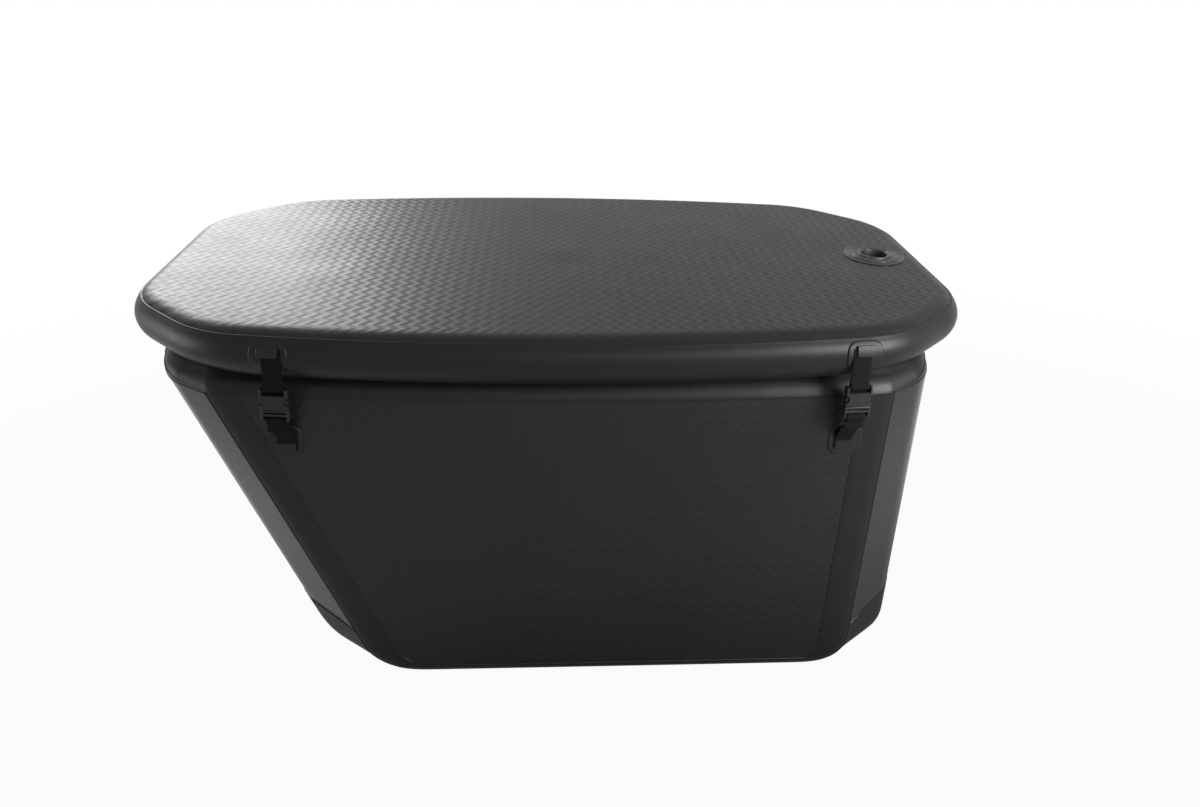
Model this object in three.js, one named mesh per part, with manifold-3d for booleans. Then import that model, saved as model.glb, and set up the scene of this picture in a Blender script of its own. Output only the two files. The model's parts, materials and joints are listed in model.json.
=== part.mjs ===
// A cold plunge tub: stiff inflated wall panels stand round an inflated floor, and an inflated lid lies on
// the rim, held down by four buckled straps. Millimetres; +X runs to the foot end, +Y to the back, +Z up.
// The origin lies on the ground under the middle of the lid.
import * as THREE from "three";
import { mergeVertices } from "three/addons/utils/BufferGeometryUtils.js";
import Module from "manifold-3d";

const wasm = await Module();
wasm.setup();

// Clearance between pieces that touch; a patch lies a little further off its curved face
const GAP = 0.3;

// Lid, which hangs over the rim all round
const LID_THICKNESS = 80;
const LID_HEAD_OVERHANG = 51;
const LID_FOOT_OVERHANG = 69;
const LID_SIDE_OVERHANG = 48;
const LID_BOW = 44;
const LID_CUT_ALONG = 140;
const LID_CUT_ACROSS = 130;
const LID_CORNER_EASE = 46;

// Tub wall, measured level; the head end leans back, the foot end stands upright
const RIM_HEIGHT = 650;
const WALL = 80;
const HEAD_AT_FLOOR = 442;
const HEAD_AT_RIM = 699;
const FOOT_REACH = 681;
const SIDE_REACH = 350;
const RIM_BOW = 22;
const FLOOR_CUT_ALONG = 132;
const FLOOR_CUT_ACROSS = 101;
const RIM_CUT_ALONG = 108;
const RIM_CUT_ACROSS = 56;
const OUTER_EASE = 24;
const INNER_EASE = 8;

// Bands, floor and corner tapes
const RIM_BAND = 55;
const BASE_BAND = 60;
const BASE_ROUND = 32;
const TAPE = 1.5;
const TAPE_LAP = 8;
const INNER_LAP = 6;

// Straps
const STRAP_CLEAR = 2;
const WEB_WIDTH = 32;
const WEB = 2;
const PATCH = 1.6;
const PATCH_SEAT = 0.7;
const LID_PATCH_WIDTH = 64;
const LID_PATCH_FROM = 48;
const LID_PATCH_TO = 128;
const LID_WEB_FROM = 66;
const WALL_PATCH_WIDTH = 60;
const WALL_PATCH_HEIGHT = 62;
const WALL_PATCH_DROP = 133;
const LOWER_WEB_BEND = 12;

// Buckles: the socket's mouth, so far below the rim, is where the two halves meet
const BUCKLE_CHEEK = 5.5;
const BUCKLE_THICKNESS = 13;
const BUCKLE_EDGE = 2.5;
const MOUTH_DROP = 48;
const SOCKET_HEIGHT = 36;
const SOCKET_WALL = 3;
const CAVITY_DEPTH = 24;
const CAVITY_THICKNESS = 8;
const WINDOW_LOW = 7;
const WINDOW_HIGH = 21.5;
const TONGUE_HEIGHT = 22;
const TONGUE_THICKNESS = 11;
const BAR_HEIGHT = 4;
const BAR_THICKNESS = 5;
const SLOT_HEIGHT = 6.5;
const SLOT_SIDE = 1.5;
const LADDER_SLOT = 3;
const GUIDE_WIDTH = 8;
const GUIDE_LENGTH = 21;
const GUIDE_THICKNESS = 6;
const PRONG_ROOT = 10;
const PRONG_ARM = 3.4;
const PRONG_LENGTH = 22.5;
const PRONG_THICKNESS = 6.4;
const PRONG_HEAD_LOW = 8.2;
const PRONG_HEAD_HIGH = 17;

// Inflation valves: widths outwards from the well, heights over the panel's face and depths below it
const VALVE_RING_WIDTH = 13;
const VALVE_RING = 2;
const VALVE_FLANGE_WIDTH = 13;
const VALVE_FLANGE = 4.2;
const VALVE_FLANGE_BEVEL = 2;
const VALVE_COLLAR_WIDTH = 8;
const VALVE_COLLAR = 6.4;
const VALVE_WELL_RADIUS = 26;
const VALVE_WELL_DEPTH = 30;
const VALVE_BARREL_WALL = 5;
const VALVE_SEAT = 3;
const VALVE_STEM_RADIUS = 4.2;
const VALVE_STEM_CLEARANCE = 0.6;
const VALVE_AIR_HOLE_RADIUS = 4;
const VALVE_AIR_HOLES = 4;
const VALVE_AIR_HOLE_CIRCLE = 15;
const VALVE_DISC_LAP = 2;
const VALVE_DISC = 3.5;
const VALVE_BUTTON_RADIUS = 9.5;
const VALVE_BUTTON = 4;
const VALVE_BUTTON_BEVEL = 1;
const VALVE_TRAVEL = 5;
const VALVE_FREE_DEPTH = 8;
const SPRING_HEIGHT = 13;
const SPRING_WIRE_RADIUS = 0.6;
const SPRING_RADIUS = 6.9;
const SPRING_TURNS = 4;
const LID_VALVE_FROM_END = 104;
const WALL_VALVE_DROP = 180;

// Drain through the foot end
const DRAIN_OVER_FLOOR = 42;
const DRAIN_BORE_RADIUS = 15;
const DRAIN_PIPE_WALL = 5;
const DRAIN_FLANGE_WIDTH = 16;
const DRAIN_FLANGE = 6;
const DRAIN_FLANGE_BEVEL = 1.5;
const DRAIN_SPIGOT = 28;
const DRAIN_NUT_WIDTH = 13;
const DRAIN_NUT = 9;
const DRAIN_PIPE_STAND = 3;
const DRAIN_GASKET = 2;
const DRAIN_CAP_WALL = 4.5;
const DRAIN_CAP_TOP = 4;
const DRAIN_CAP_SKIRT = 20;
const DRAIN_CAP_BEVEL = 1.5;

// Fineness of the facets
const ROUND_STEPS = 4;
const LID_BOW_STEPS = 10;
const WALL_BOW_STEPS = 6;
const WALL_LEVELS = 5;
const BAND_STEPS = 8;
const PATCH_COLUMNS = 4;
const PATCH_ROWS = 6;
const PATCH_ROUNDNESS = 3;
const PATCH_TIP = 0.96;
const BEND_STEPS = 4;
const LATHE_SIDES = 24;
const HOLE_SIDES = 10;
const ARC_STEPS = 6;
const WIRE_ARC_STEPS = 3;
const SPRING_STEPS_PER_TURN = 8;
const WELD = 1e-3;

const LID_ROUND = LID_THICKNESS / 2;
const LID_MIDDLE = RIM_HEIGHT + GAP + LID_ROUND;
const LID_TOP = LID_MIDDLE + LID_ROUND;
const SOCKET_MOUTH = RIM_HEIGHT - MOUTH_DROP;
const WALL_PATCH_MIDDLE = RIM_HEIGHT - WALL_PATCH_DROP;
const WALL_PATCH_LOW = WALL_PATCH_MIDDLE - WALL_PATCH_HEIGHT / 2;
const { lerp, degToRad } = THREE.MathUtils;

function material(color, roughness, metalness = 0) {
  return new THREE.MeshStandardMaterial({ color, roughness, metalness });
}

const embossed = material(0x3b3c3f, 0.42);
const smooth = material(0x2a2b2d, 0.34);
const woven = material(0x232426, 0.9);
const moulded = material(0x3a3b3d, 0.38);
const valvePlastic = material(0x55575a, 0.4);
const steel = material(0xa9abad, 0.3, 1);
const rubber = material(0x151516, 0.8);

const tub = new THREE.Group();

function addPiece(parent, name, geometry, finish) {
  const mesh = new THREE.Mesh(geometry, finish);
  mesh.name = name;
  parent.add(mesh);
  return mesh;
}

// Joining and cutting closed geometries

function solidOf(geometry) {
  const loose = geometry.index ? geometry.toNonIndexed() : geometry;
  const bare = new THREE.BufferGeometry().setAttribute("position", loose.getAttribute("position"));
  const merged = mergeVertices(bare, WELD);
  const vertProperties = merged.getAttribute("position").array;
  const triVerts = new Uint32Array(merged.index.array);
  return new wasm.Manifold(new wasm.Mesh({ numProp: 3, vertProperties, triVerts }));
}

function geometryOf(solid) {
  const mesh = solid.getMesh();
  const geometry = new THREE.BufferGeometry();
  geometry.setAttribute("position", new THREE.BufferAttribute(mesh.vertProperties, 3));
  geometry.setIndex(new THREE.BufferAttribute(mesh.triVerts, 1));
  geometry.computeVertexNormals();
  return geometry;
}

function cut(body, ...tools) {
  return geometryOf(tools.reduce((rest, tool) => rest.subtract(solidOf(tool)), solidOf(body)));
}

function join(body, ...others) {
  return geometryOf(others.reduce((whole, other) => whole.add(solidOf(other)), solidOf(body)));
}

// Closed geometries from grids of points

function meshGeometry(points, faces) {
  const geometry = new THREE.BufferGeometry().setFromPoints(points);
  geometry.setIndex(faces);
  geometry.computeVertexNormals();
  return geometry;
}

// A shell between an outer and an inner grid of rows, over the cells that keep picks. Rows run upwards and
// columns run anticlockwise seen from above. Both ends of a row split along the same diagonal, outer low to
// inner high, so that neighbours that meet at a mitre stay parallel.
function shell(outer, inner, keep = () => true) {
  const rows = outer.length;
  const columns = outer[0].length;
  const faces = [];
  const index = (layer, row, column) => (layer * rows + row) * columns + column;
  const quad = (a, b, c, d) => faces.push(a, b, c, a, c, d);
  const inGrid = (row, column) => row >= 0 && column >= 0 && row < rows - 1 && column < columns - 1;
  const kept = (row, column) => inGrid(row, column) && keep(row, column);
  for (let row = 0; row < rows - 1; row++) {
    for (let column = 0; column < columns - 1; column++) {
      if (!kept(row, column)) continue;
      const corners = [[row, column], [row, column + 1], [row + 1, column + 1], [row + 1, column]];
      const beyond = [[row - 1, column], [row, column + 1], [row + 1, column], [row, column - 1]];
      const [o, i] = [0, 1].map((layer) => corners.map(([r, c]) => index(layer, r, c)));
      quad(o[0], o[1], o[2], o[3]);
      quad(i[0], i[3], i[2], i[1]);
      beyond.forEach(([r, c], edge) => {
        if (kept(r, c)) return;
        const next = (edge + 1) % corners.length;
        if (c > column) quad(o[edge], i[edge], i[next], o[next]);
        else quad(o[next], o[edge], i[edge], i[next]);
      });
    }
  }
  return meshGeometry([...outer.flat(), ...inner.flat()], faces);
}

// A ring from closed loops that follow each other round its section, upwards on the outside.
function ring(loops) {
  const count = loops[0].length;
  const faces = [];
  loops.forEach((loop, k) => {
    const above = (k + 1) % loops.length;
    loop.forEach((point, j) => {
      const next = (j + 1) % count;
      const [a, b, c, d] = [k * count + j, k * count + next, above * count + next, above * count + j];
      faces.push(a, b, c, a, c, d);
    });
  });
  return meshGeometry(loops.flat(), faces);
}

// A slab between a lower and an upper loop. Its sides split along the same diagonals as a ring's inner face.
function slab(lower, upper) {
  const count = lower.length;
  const caps = THREE.ShapeUtils.triangulateShape(lower.map((p) => new THREE.Vector2(p.x, p.y)), []);
  const faces = [];
  caps.forEach(([a, b, c]) => faces.push(a, c, b, count + a, count + b, count + c));
  lower.forEach((point, j) => {
    const next = (j + 1) % count;
    faces.push(j, next, count + j, next, count + next, count + j);
  });
  return meshGeometry([...lower, ...upper], faces);
}

const raised = (points, z) => points.map((p) => new THREE.Vector3(p.x, p.y, z));

// Other closed shapes

// A turned shape about +Z from [radius, height] points that run anticlockwise.
function turned(profile) {
  const points = [...profile, profile[0]].map(([radius, height]) => new THREE.Vector2(radius, height));
  return new THREE.LatheGeometry(points, LATHE_SIDES).rotateX(Math.PI / 2);
}

function polygon(points) {
  return new THREE.Shape(points.map(([x, y]) => new THREE.Vector2(x, y)));
}

function extruded(shape, depth) {
  const geometry = new THREE.ExtrudeGeometry(shape, { depth, bevelEnabled: false, curveSegments: ARC_STEPS });
  return geometry.translate(0, 0, -depth / 2);
}

const alongX = new THREE.Matrix4().set(0, 0, 1, 0, 1, 0, 0, 0, 0, 1, 0, 0, 0, 0, 0, 1);
const alongY = new THREE.Matrix4().set(1, 0, 0, 0, 0, 0, -1, 0, 0, 1, 0, 0, 0, 0, 0, 1);

// A [y, z] section that runs along X, and an [x, z] outline that is so thick along Y.
const barAcross = (shape, width) => extruded(shape, width).applyMatrix4(alongX);
const plateFacing = (shape, thickness) => extruded(shape, thickness).applyMatrix4(alongY);

function block(low, high) {
  const size = high.map((value, k) => value - low[k]);
  const middle = high.map((value, k) => (value + low[k]) / 2);
  return new THREE.BoxGeometry(...size).translate(...middle);
}

// A rectangle with cut corners.
function trimmed(left, right, low, high, trim) {
  return polygon([
    [left + trim, low],
    [right - trim, low],
    [right, low + trim],
    [right, high - trim],
    [right - trim, high],
    [left + trim, high],
    [left, high - trim],
    [left, low + trim],
  ]);
}

// Plan outlines with eight sides: bowed long sides, straight ends and cut corners, rounded where they meet

// The same outline with every side moved in.
function insetPlan(plan, inset) {
  const { cutAlong, cutAcross } = plan;
  const slant = Math.hypot(cutAlong, cutAcross);
  return {
    ...plan,
    head: plan.head - inset,
    foot: plan.foot - inset,
    side: plan.side - inset,
    cutAlong: cutAlong + inset * ((slant - cutAlong) / cutAcross - 1),
    cutAcross: cutAcross + inset * ((slant - cutAcross) / cutAlong - 1),
  };
}

// The outline's eight runs, anticlockwise from the front side. Neighbours share the middle of a corner.
function planRuns(plan) {
  const { head, foot, side, bow, cutAlong, cutAcross, ease, lap, bowSteps } = plan;
  const corners = [
    [cutAlong - head, -side],
    [foot - cutAlong, -side],
    [foot, cutAcross - side],
    [foot, side - cutAcross],
    [foot - cutAlong, side],
    [cutAlong - head, side],
    [-head, side - cutAcross],
    [-head, cutAcross - side],
  ].map(([x, y]) => new THREE.Vector2(x, y));
  const last = corners.length - 1;
  const isLongSide = (k) => k % (corners.length / 2) === 0;
  const sides = corners.map((from, k) => {
    const to = corners[(k + 1) % corners.length];
    const length = from.distanceTo(to);
    const along = to.clone().sub(from).normalize();
    const outward = new THREE.Vector2(along.y, -along.x);
    const swell = isLongSide(k) ? bow : 0;
    const at = (distance) => {
      const share = (2 * distance) / length - 1;
      const rise = swell * (1 - share * share);
      return from.clone().addScaledVector(along, distance).addScaledVector(outward, rise);
    };
    return { length, at };
  });
  const rounds = corners.map((corner, k) => {
    const before = sides[(k + last) % corners.length];
    const start = before.at(before.length - ease);
    const end = sides[k].at(ease);
    return new THREE.QuadraticBezierCurve(start, corner, end).getPoints(ROUND_STEPS);
  });
  const half = ROUND_STEPS / 2;
  return sides.map(({ length, at }, k) => {
    const first = ease + lap;
    const steps = isLongSide(k) ? bowSteps : 1;
    const between = Array.from({ length: steps + 1 }, (_, j) => at(lerp(first, length - first, j / steps)));
    const nextRound = rounds[(k + 1) % corners.length];
    return [...rounds[k].slice(half), ...between, ...nextRound.slice(0, half + 1)];
  });
}

// The runs joined into one closed loop.
const planLoop = (plan) => planRuns(plan).flatMap((run) => run.slice(0, -1));

// A closed loop moved out along the mean normals of its sides.
function widened(loop, distance) {
  return loop.map((point, j) => {
    const before = loop[(j + loop.length - 1) % loop.length];
    const after = loop[(j + 1) % loop.length];
    return point.clone().addScaledVector(meanNormal(before, point, after), distance);
  });
}

// The outward mitre at a point of an anticlockwise line.
function meanNormal(before, point, after) {
  const normals = [[before, point], [point, after]]
    .filter(([from, to]) => from.distanceTo(to) > 0)
    .map(([from, to]) => new THREE.Vector2(to.y - from.y, from.x - to.x).normalize());
  const mean = normals.reduce((sum, normal) => sum.add(normal), new THREE.Vector2()).normalize();
  return mean.divideScalar(mean.dot(normals[normals.length - 1]));
}

// The tub wall

function wallPlan(z) {
  const share = z / RIM_HEIGHT;
  return {
    foot: FOOT_REACH,
    side: SIDE_REACH,
    bowSteps: WALL_BOW_STEPS,
    head: lerp(HEAD_AT_FLOOR, HEAD_AT_RIM, share),
    bow: lerp(0, RIM_BOW, share),
    cutAlong: lerp(FLOOR_CUT_ALONG, RIM_CUT_ALONG, share),
    cutAcross: lerp(FLOOR_CUT_ACROSS, RIM_CUT_ACROSS, share),
  };
}

const outerPlan = (z) => ({ ...wallPlan(z), ease: OUTER_EASE, lap: TAPE_LAP });
const innerPlan = (z, inset = WALL) => {
  return { ...insetPlan(wallPlan(z), inset), ease: INNER_EASE, lap: INNER_LAP };
};

const PANEL_LOW = BASE_BAND + GAP;
const PANEL_HIGH = RIM_HEIGHT - RIM_BAND - GAP;
const panelHeights = Array.from({ length: WALL_LEVELS }, (_, level) => {
  return lerp(PANEL_LOW, PANEL_HIGH, level / (WALL_LEVELS - 1));
});

// A run with both ends drawn back by half the clearance, so that mitred panels don't touch.
function drawnBack(run) {
  const towards = (end, next) => end.clone().addScaledVector(next.clone().sub(end).normalize(), GAP / 2);
  const last = run.length - 1;
  return [towards(run[0], run[1]), ...run.slice(1, last), towards(run[last], run[last - 1])];
}

function wallPanel(side) {
  const outer = panelHeights.map((z) => raised(drawnBack(planRuns(outerPlan(z))[side]), z));
  const inner = panelHeights.map((z) => raised(drawnBack(planRuns(innerPlan(z))[side]), z));
  return shell(outer, inner);
}

const FRONT = 0;
const FOOT = 2;
const BACK = 4;
const HEAD = 6;
const CORNERS = { front_right: 1, back_right: 3, back_left: 5, front_left: 7 };

// A die-cut tape over a corner panel's two edges: two legs joined below the panel's window.
function cornerTape(side) {
  const skin = (z, distance) => {
    const runs = planRuns(outerPlan(z));
    const before = runs[(side + runs.length - 1) % runs.length];
    const after = runs[(side + 1) % runs.length];
    const reach = ROUND_STEPS / 2 + 1;
    const line = [...before.slice(-reach - 1, -1), ...runs[side], ...after.slice(1, reach + 1)];
    const moved = line.map((point, j) => {
      const from = line[Math.max(j - 1, 0)];
      const to = line[Math.min(j + 1, line.length - 1)];
      return point.clone().addScaledVector(meanNormal(from, point, to), distance);
    });
    return raised(moved, z);
  };
  const outer = panelHeights.map((z) => skin(z, GAP + TAPE));
  const inner = panelHeights.map((z) => skin(z, GAP));
  const middle = (outer[0].length - 2) / 2;
  return shell(outer, inner, (row, column) => row === 0 || column !== middle);
}

// A ring round the tub whose section is given as [height, share of the way from the outer to the inner face].
function wallRing(section) {
  return ring(
    section.map(([z, share]) => {
      const inner = planLoop(innerPlan(z));
      return raised(planLoop(outerPlan(z)).map((point, j) => point.lerp(inner[j], share)), z);
    }),
  );
}

function rimBand() {
  const low = RIM_HEIGHT - RIM_BAND;
  const middle = RIM_HEIGHT - WALL / 2;
  const arch = Array.from({ length: BAND_STEPS + 1 }, (_, k) => {
    const angle = (Math.PI * k) / BAND_STEPS;
    return [middle + (WALL / 2) * Math.sin(angle), (1 - Math.cos(angle)) / 2];
  });
  return wallRing([[low, 0], ...arch, [low, 1]]);
}

function baseBand() {
  const steps = BAND_STEPS / 2;
  const round = Array.from({ length: steps + 1 }, (_, k) => {
    const angle = (Math.PI / 2) * (1 - k / steps);
    return [BASE_ROUND * (1 - Math.sin(angle)), (BASE_ROUND / WALL) * (1 - Math.cos(angle))];
  });
  return wallRing([[0, 1], ...round, [BASE_BAND, 0], [BASE_BAND, 1]]);
}

function floorPanel() {
  const loop = (z) => raised(planLoop(innerPlan(z, WALL + GAP)), z);
  return slab(loop(0), loop(BASE_BAND));
}

// The lid

const LID_PLAN = {
  head: HEAD_AT_RIM + LID_HEAD_OVERHANG - LID_ROUND - GAP,
  foot: FOOT_REACH + LID_FOOT_OVERHANG - LID_ROUND - GAP,
  side: SIDE_REACH + RIM_BOW + LID_SIDE_OVERHANG - LID_BOW - LID_ROUND - GAP,
  bow: LID_BOW,
  cutAlong: LID_CUT_ALONG,
  cutAcross: LID_CUT_ACROSS,
  ease: LID_CORNER_EASE,
  lap: 0,
  bowSteps: LID_BOW_STEPS,
};

function lidPanel() {
  const loop = planLoop(LID_PLAN);
  return slab(raised(loop, LID_MIDDLE - LID_ROUND), raised(loop, LID_TOP));
}

function lidEdgeBand() {
  const core = planLoop(LID_PLAN);
  const rows = Array.from({ length: BAND_STEPS + 1 }, (_, k) => {
    const angle = Math.PI * (k / BAND_STEPS - 1 / 2);
    const out = GAP + LID_ROUND * Math.cos(angle);
    return raised(widened(core, out), LID_MIDDLE + LID_ROUND * Math.sin(angle));
  });
  return ring(rows);
}

// Inflation valve, standing on a panel's face at z = 0

const BARREL_RADIUS = VALVE_WELL_RADIUS + VALVE_BARREL_WALL;
const COLLAR_RADIUS = VALVE_WELL_RADIUS + VALVE_COLLAR_WIDTH;
const FLANGE_RADIUS = COLLAR_RADIUS + VALVE_FLANGE_WIDTH;
const RING_RADIUS = FLANGE_RADIUS + VALVE_RING_WIDTH;
const DISC_RADIUS = VALVE_AIR_HOLE_CIRCLE + VALVE_AIR_HOLE_RADIUS + VALVE_DISC_LAP;
const SEAT_BOTTOM = -VALVE_WELL_DEPTH - VALVE_SEAT;
const BUTTON_BOTTOM = SPRING_HEIGHT - VALVE_WELL_DEPTH;
const DISC_TOP = SEAT_BOTTOM - GAP;
const POCKET_DEPTH = VALVE_DISC + VALVE_TRAVEL + VALVE_FREE_DEPTH - SEAT_BOTTOM;

function valveBody() {
  const stemHole = VALVE_STEM_RADIUS + VALVE_STEM_CLEARANCE;
  const body = turned([
    [stemHole, SEAT_BOTTOM],
    [BARREL_RADIUS, SEAT_BOTTOM],
    [BARREL_RADIUS, GAP],
    [FLANGE_RADIUS, GAP],
    [FLANGE_RADIUS, VALVE_FLANGE - VALVE_FLANGE_BEVEL],
    [FLANGE_RADIUS - VALVE_FLANGE_BEVEL, VALVE_FLANGE],
    [COLLAR_RADIUS, VALVE_FLANGE],
    [COLLAR_RADIUS, VALVE_COLLAR],
    [VALVE_WELL_RADIUS, VALVE_COLLAR],
    [VALVE_WELL_RADIUS, -VALVE_WELL_DEPTH],
    [stemHole, -VALVE_WELL_DEPTH],
  ]);
  const holes = Array.from({ length: VALVE_AIR_HOLES }, (_, k) => {
    const angle = (2 * Math.PI * k) / VALVE_AIR_HOLES;
    const radius = VALVE_AIR_HOLE_RADIUS;
    const hole = new THREE.CylinderGeometry(radius, radius, 2 * VALVE_SEAT, HOLE_SIDES);
    const middle = -VALVE_WELL_DEPTH - VALVE_SEAT / 2;
    const [x, y] = [Math.cos(angle), Math.sin(angle)].map((share) => VALVE_AIR_HOLE_CIRCLE * share);
    return hole.rotateX(Math.PI / 2).translate(x, y, middle);
  });
  return cut(body, ...holes);
}

function valvePlunger() {
  const top = BUTTON_BOTTOM + VALVE_BUTTON;
  return turned([
    [0, DISC_TOP - VALVE_DISC],
    [DISC_RADIUS, DISC_TOP - VALVE_DISC],
    [DISC_RADIUS, DISC_TOP],
    [VALVE_STEM_RADIUS, DISC_TOP],
    [VALVE_STEM_RADIUS, BUTTON_BOTTOM],
    [VALVE_BUTTON_RADIUS, BUTTON_BOTTOM],
    [VALVE_BUTTON_RADIUS, top - VALVE_BUTTON_BEVEL],
    [VALVE_BUTTON_RADIUS - VALVE_BUTTON_BEVEL, top],
    [0, top],
  ]);
}

// The return spring's centre line, from the seat up to the button.
class SpringLine extends THREE.Curve {
  getPoint(share) {
    const angle = 2 * Math.PI * SPRING_TURNS * share;
    const low = GAP + SPRING_WIRE_RADIUS - VALVE_WELL_DEPTH;
    const high = BUTTON_BOTTOM - GAP - SPRING_WIRE_RADIUS;
    const [x, y] = [Math.cos(angle), Math.sin(angle)].map((part) => SPRING_RADIUS * part);
    return new THREE.Vector3(x, y, lerp(low, high, share));
  }
}

function valveSpring() {
  const circle = new THREE.Path().absarc(0, 0, SPRING_WIRE_RADIUS, 0, 2 * Math.PI);
  const wire = new THREE.Shape(circle.getPoints(WIRE_ARC_STEPS));
  const steps = SPRING_TURNS * SPRING_STEPS_PER_TURN;
  return new THREE.ExtrudeGeometry(wire, { steps, extrudePath: new SpringLine(), bevelEnabled: false });
}

function valveRing() {
  const inside = FLANGE_RADIUS + GAP;
  return turned([
    [inside, GAP],
    [RING_RADIUS, GAP],
    [RING_RADIUS, GAP + VALVE_RING],
    [inside, GAP + VALVE_RING],
  ]);
}

// The round pocket that a valve's barrel fills, open at the panel's face.
function valvePocket() {
  const radius = BARREL_RADIUS + GAP;
  const pocket = new THREE.CylinderGeometry(radius, radius, 2 * POCKET_DEPTH, LATHE_SIDES);
  return pocket.rotateX(Math.PI / 2);
}

function addValve(parent, prefix) {
  addPiece(parent, `${prefix}_valve_body`, valveBody(), valvePlastic);
  addPiece(parent, `${prefix}_valve_plunger`, valvePlunger(), valvePlastic);
  addPiece(parent, `${prefix}_valve_spring`, valveSpring(), steel);
}

// Drain, standing on the foot end's outer face at z = 0

const PIPE_RADIUS = DRAIN_BORE_RADIUS + DRAIN_PIPE_WALL;
const CAP_INSIDE = DRAIN_SPIGOT + DRAIN_GASKET + 2 * GAP;

function drainFlange() {
  const inner = -WALL - GAP - DRAIN_NUT - DRAIN_PIPE_STAND;
  const outside = PIPE_RADIUS + DRAIN_FLANGE_WIDTH;
  return turned([
    [DRAIN_BORE_RADIUS, inner],
    [PIPE_RADIUS, inner],
    [PIPE_RADIUS, GAP],
    [outside, GAP],
    [outside, DRAIN_FLANGE - DRAIN_FLANGE_BEVEL],
    [outside - DRAIN_FLANGE_BEVEL, DRAIN_FLANGE],
    [PIPE_RADIUS, DRAIN_FLANGE],
    [PIPE_RADIUS, DRAIN_SPIGOT],
    [DRAIN_BORE_RADIUS, DRAIN_SPIGOT],
  ]);
}

function drainNut() {
  const inside = PIPE_RADIUS + GAP;
  const outside = PIPE_RADIUS + DRAIN_NUT_WIDTH;
  return turned([
    [inside, -WALL - GAP - DRAIN_NUT],
    [outside, -WALL - GAP - DRAIN_NUT],
    [outside, -WALL - GAP],
    [inside, -WALL - GAP],
  ]);
}

function drainGasket() {
  const low = DRAIN_SPIGOT + GAP;
  return turned([
    [DRAIN_BORE_RADIUS, low],
    [PIPE_RADIUS, low],
    [PIPE_RADIUS, low + DRAIN_GASKET],
    [DRAIN_BORE_RADIUS, low + DRAIN_GASKET],
  ]);
}

function drainCap() {
  const inside = PIPE_RADIUS + GAP;
  const outside = inside + DRAIN_CAP_WALL;
  const top = CAP_INSIDE + DRAIN_CAP_TOP;
  return turned([
    [0, CAP_INSIDE],
    [inside, CAP_INSIDE],
    [inside, CAP_INSIDE - DRAIN_CAP_SKIRT],
    [outside, CAP_INSIDE - DRAIN_CAP_SKIRT],
    [outside, top - DRAIN_CAP_BEVEL],
    [outside - DRAIN_CAP_BEVEL, top],
    [0, top],
  ]);
}

function pipeHole() {
  const radius = PIPE_RADIUS + GAP;
  const length = 2 * (WALL + GAP);
  return new THREE.CylinderGeometry(radius, radius, length, LATHE_SIDES).rotateX(Math.PI / 2);
}

// A frame on the foot end's outer face whose +Z points out of the wall.
function onFootEnd(z) {
  const frame = new THREE.Group();
  frame.position.set(FOOT_REACH, 0, z);
  frame.rotation.y = Math.PI / 2;
  frame.updateMatrix();
  return frame;
}

// Straps, made for the front and mirrored to the back

// How far a bowed long side stands from the middle plane at x, and its slope in plan there.
function sideFace({ head, foot, side, bow, cutAlong }, x) {
  const middle = (foot - head) / 2;
  const half = (foot + head) / 2 - cutAlong;
  const share = (x - middle) / half;
  return { reach: side + bow * (1 - share * share), slope: (2 * bow * share) / half };
}

// The straps stand beside the corner tapes, far enough in for the lowest part of their wall patches.
const STRAP_INSET = OUTER_EASE + TAPE_LAP + STRAP_CLEAR + WALL_PATCH_WIDTH / 2;
const patchPlan = wallPlan(WALL_PATCH_LOW);
const STRAP_LEFT = patchPlan.cutAlong - patchPlan.head + STRAP_INSET;
const STRAP_RIGHT = patchPlan.foot - patchPlan.cutAlong - STRAP_INSET;

// A patch that lies on a face: at(across, up, out) gives its points, with up from -1 to 1.
function roundPatch(width, at) {
  const grid = (out) =>
    Array.from({ length: PATCH_ROWS + 1 }, (_, row) => {
      const up = PATCH_TIP * ((2 * row) / PATCH_ROWS - 1);
      const half = (width / 2) * (1 - Math.abs(up) ** PATCH_ROUNDNESS) ** (1 / PATCH_ROUNDNESS);
      return Array.from({ length: PATCH_COLUMNS + 1 }, (_, column) => {
        return at(half * ((2 * column) / PATCH_COLUMNS - 1), up, out);
      });
    });
  return shell(grid(PATCH_SEAT + PATCH), grid(PATCH_SEAT));
}

// A patch round the lid's edge, in a frame whose y = 0 touches that edge.
function lidPatch() {
  return roundPatch(LID_PATCH_WIDTH, (across, up, out) => {
    const angle = degToRad(lerp(LID_PATCH_TO, LID_PATCH_FROM, (up + 1) / 2));
    const radius = LID_ROUND + out;
    const y = LID_ROUND - radius * Math.sin(angle);
    return new THREE.Vector3(across, y, LID_MIDDLE + radius * Math.cos(angle));
  });
}

function wallPatch(x) {
  return roundPatch(WALL_PATCH_WIDTH, (across, up, out) => {
    const z = WALL_PATCH_MIDDLE + (up * WALL_PATCH_HEIGHT) / 2;
    return new THREE.Vector3(x + across, -sideFace(wallPlan(z), x + across).reach - out, z);
  });
}

// A webbing of constant thickness along a line of [y, z] points.
function ribbon(line) {
  const points = line.map(([y, z]) => new THREE.Vector2(y, z));
  const edge = (distance) =>
    points.map((point, j) => {
      const before = points[Math.max(j - 1, 0)];
      const after = points[Math.min(j + 1, points.length - 1)];
      return point.clone().addScaledVector(meanNormal(before, point, after), distance);
    });
  const outline = [...edge(WEB / 2), ...edge(-WEB / 2).reverse()];
  if (THREE.ShapeUtils.isClockWise(outline)) outline.reverse();
  return barAcross(new THREE.Shape(outline), WEB_WIDTH);
}

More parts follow.
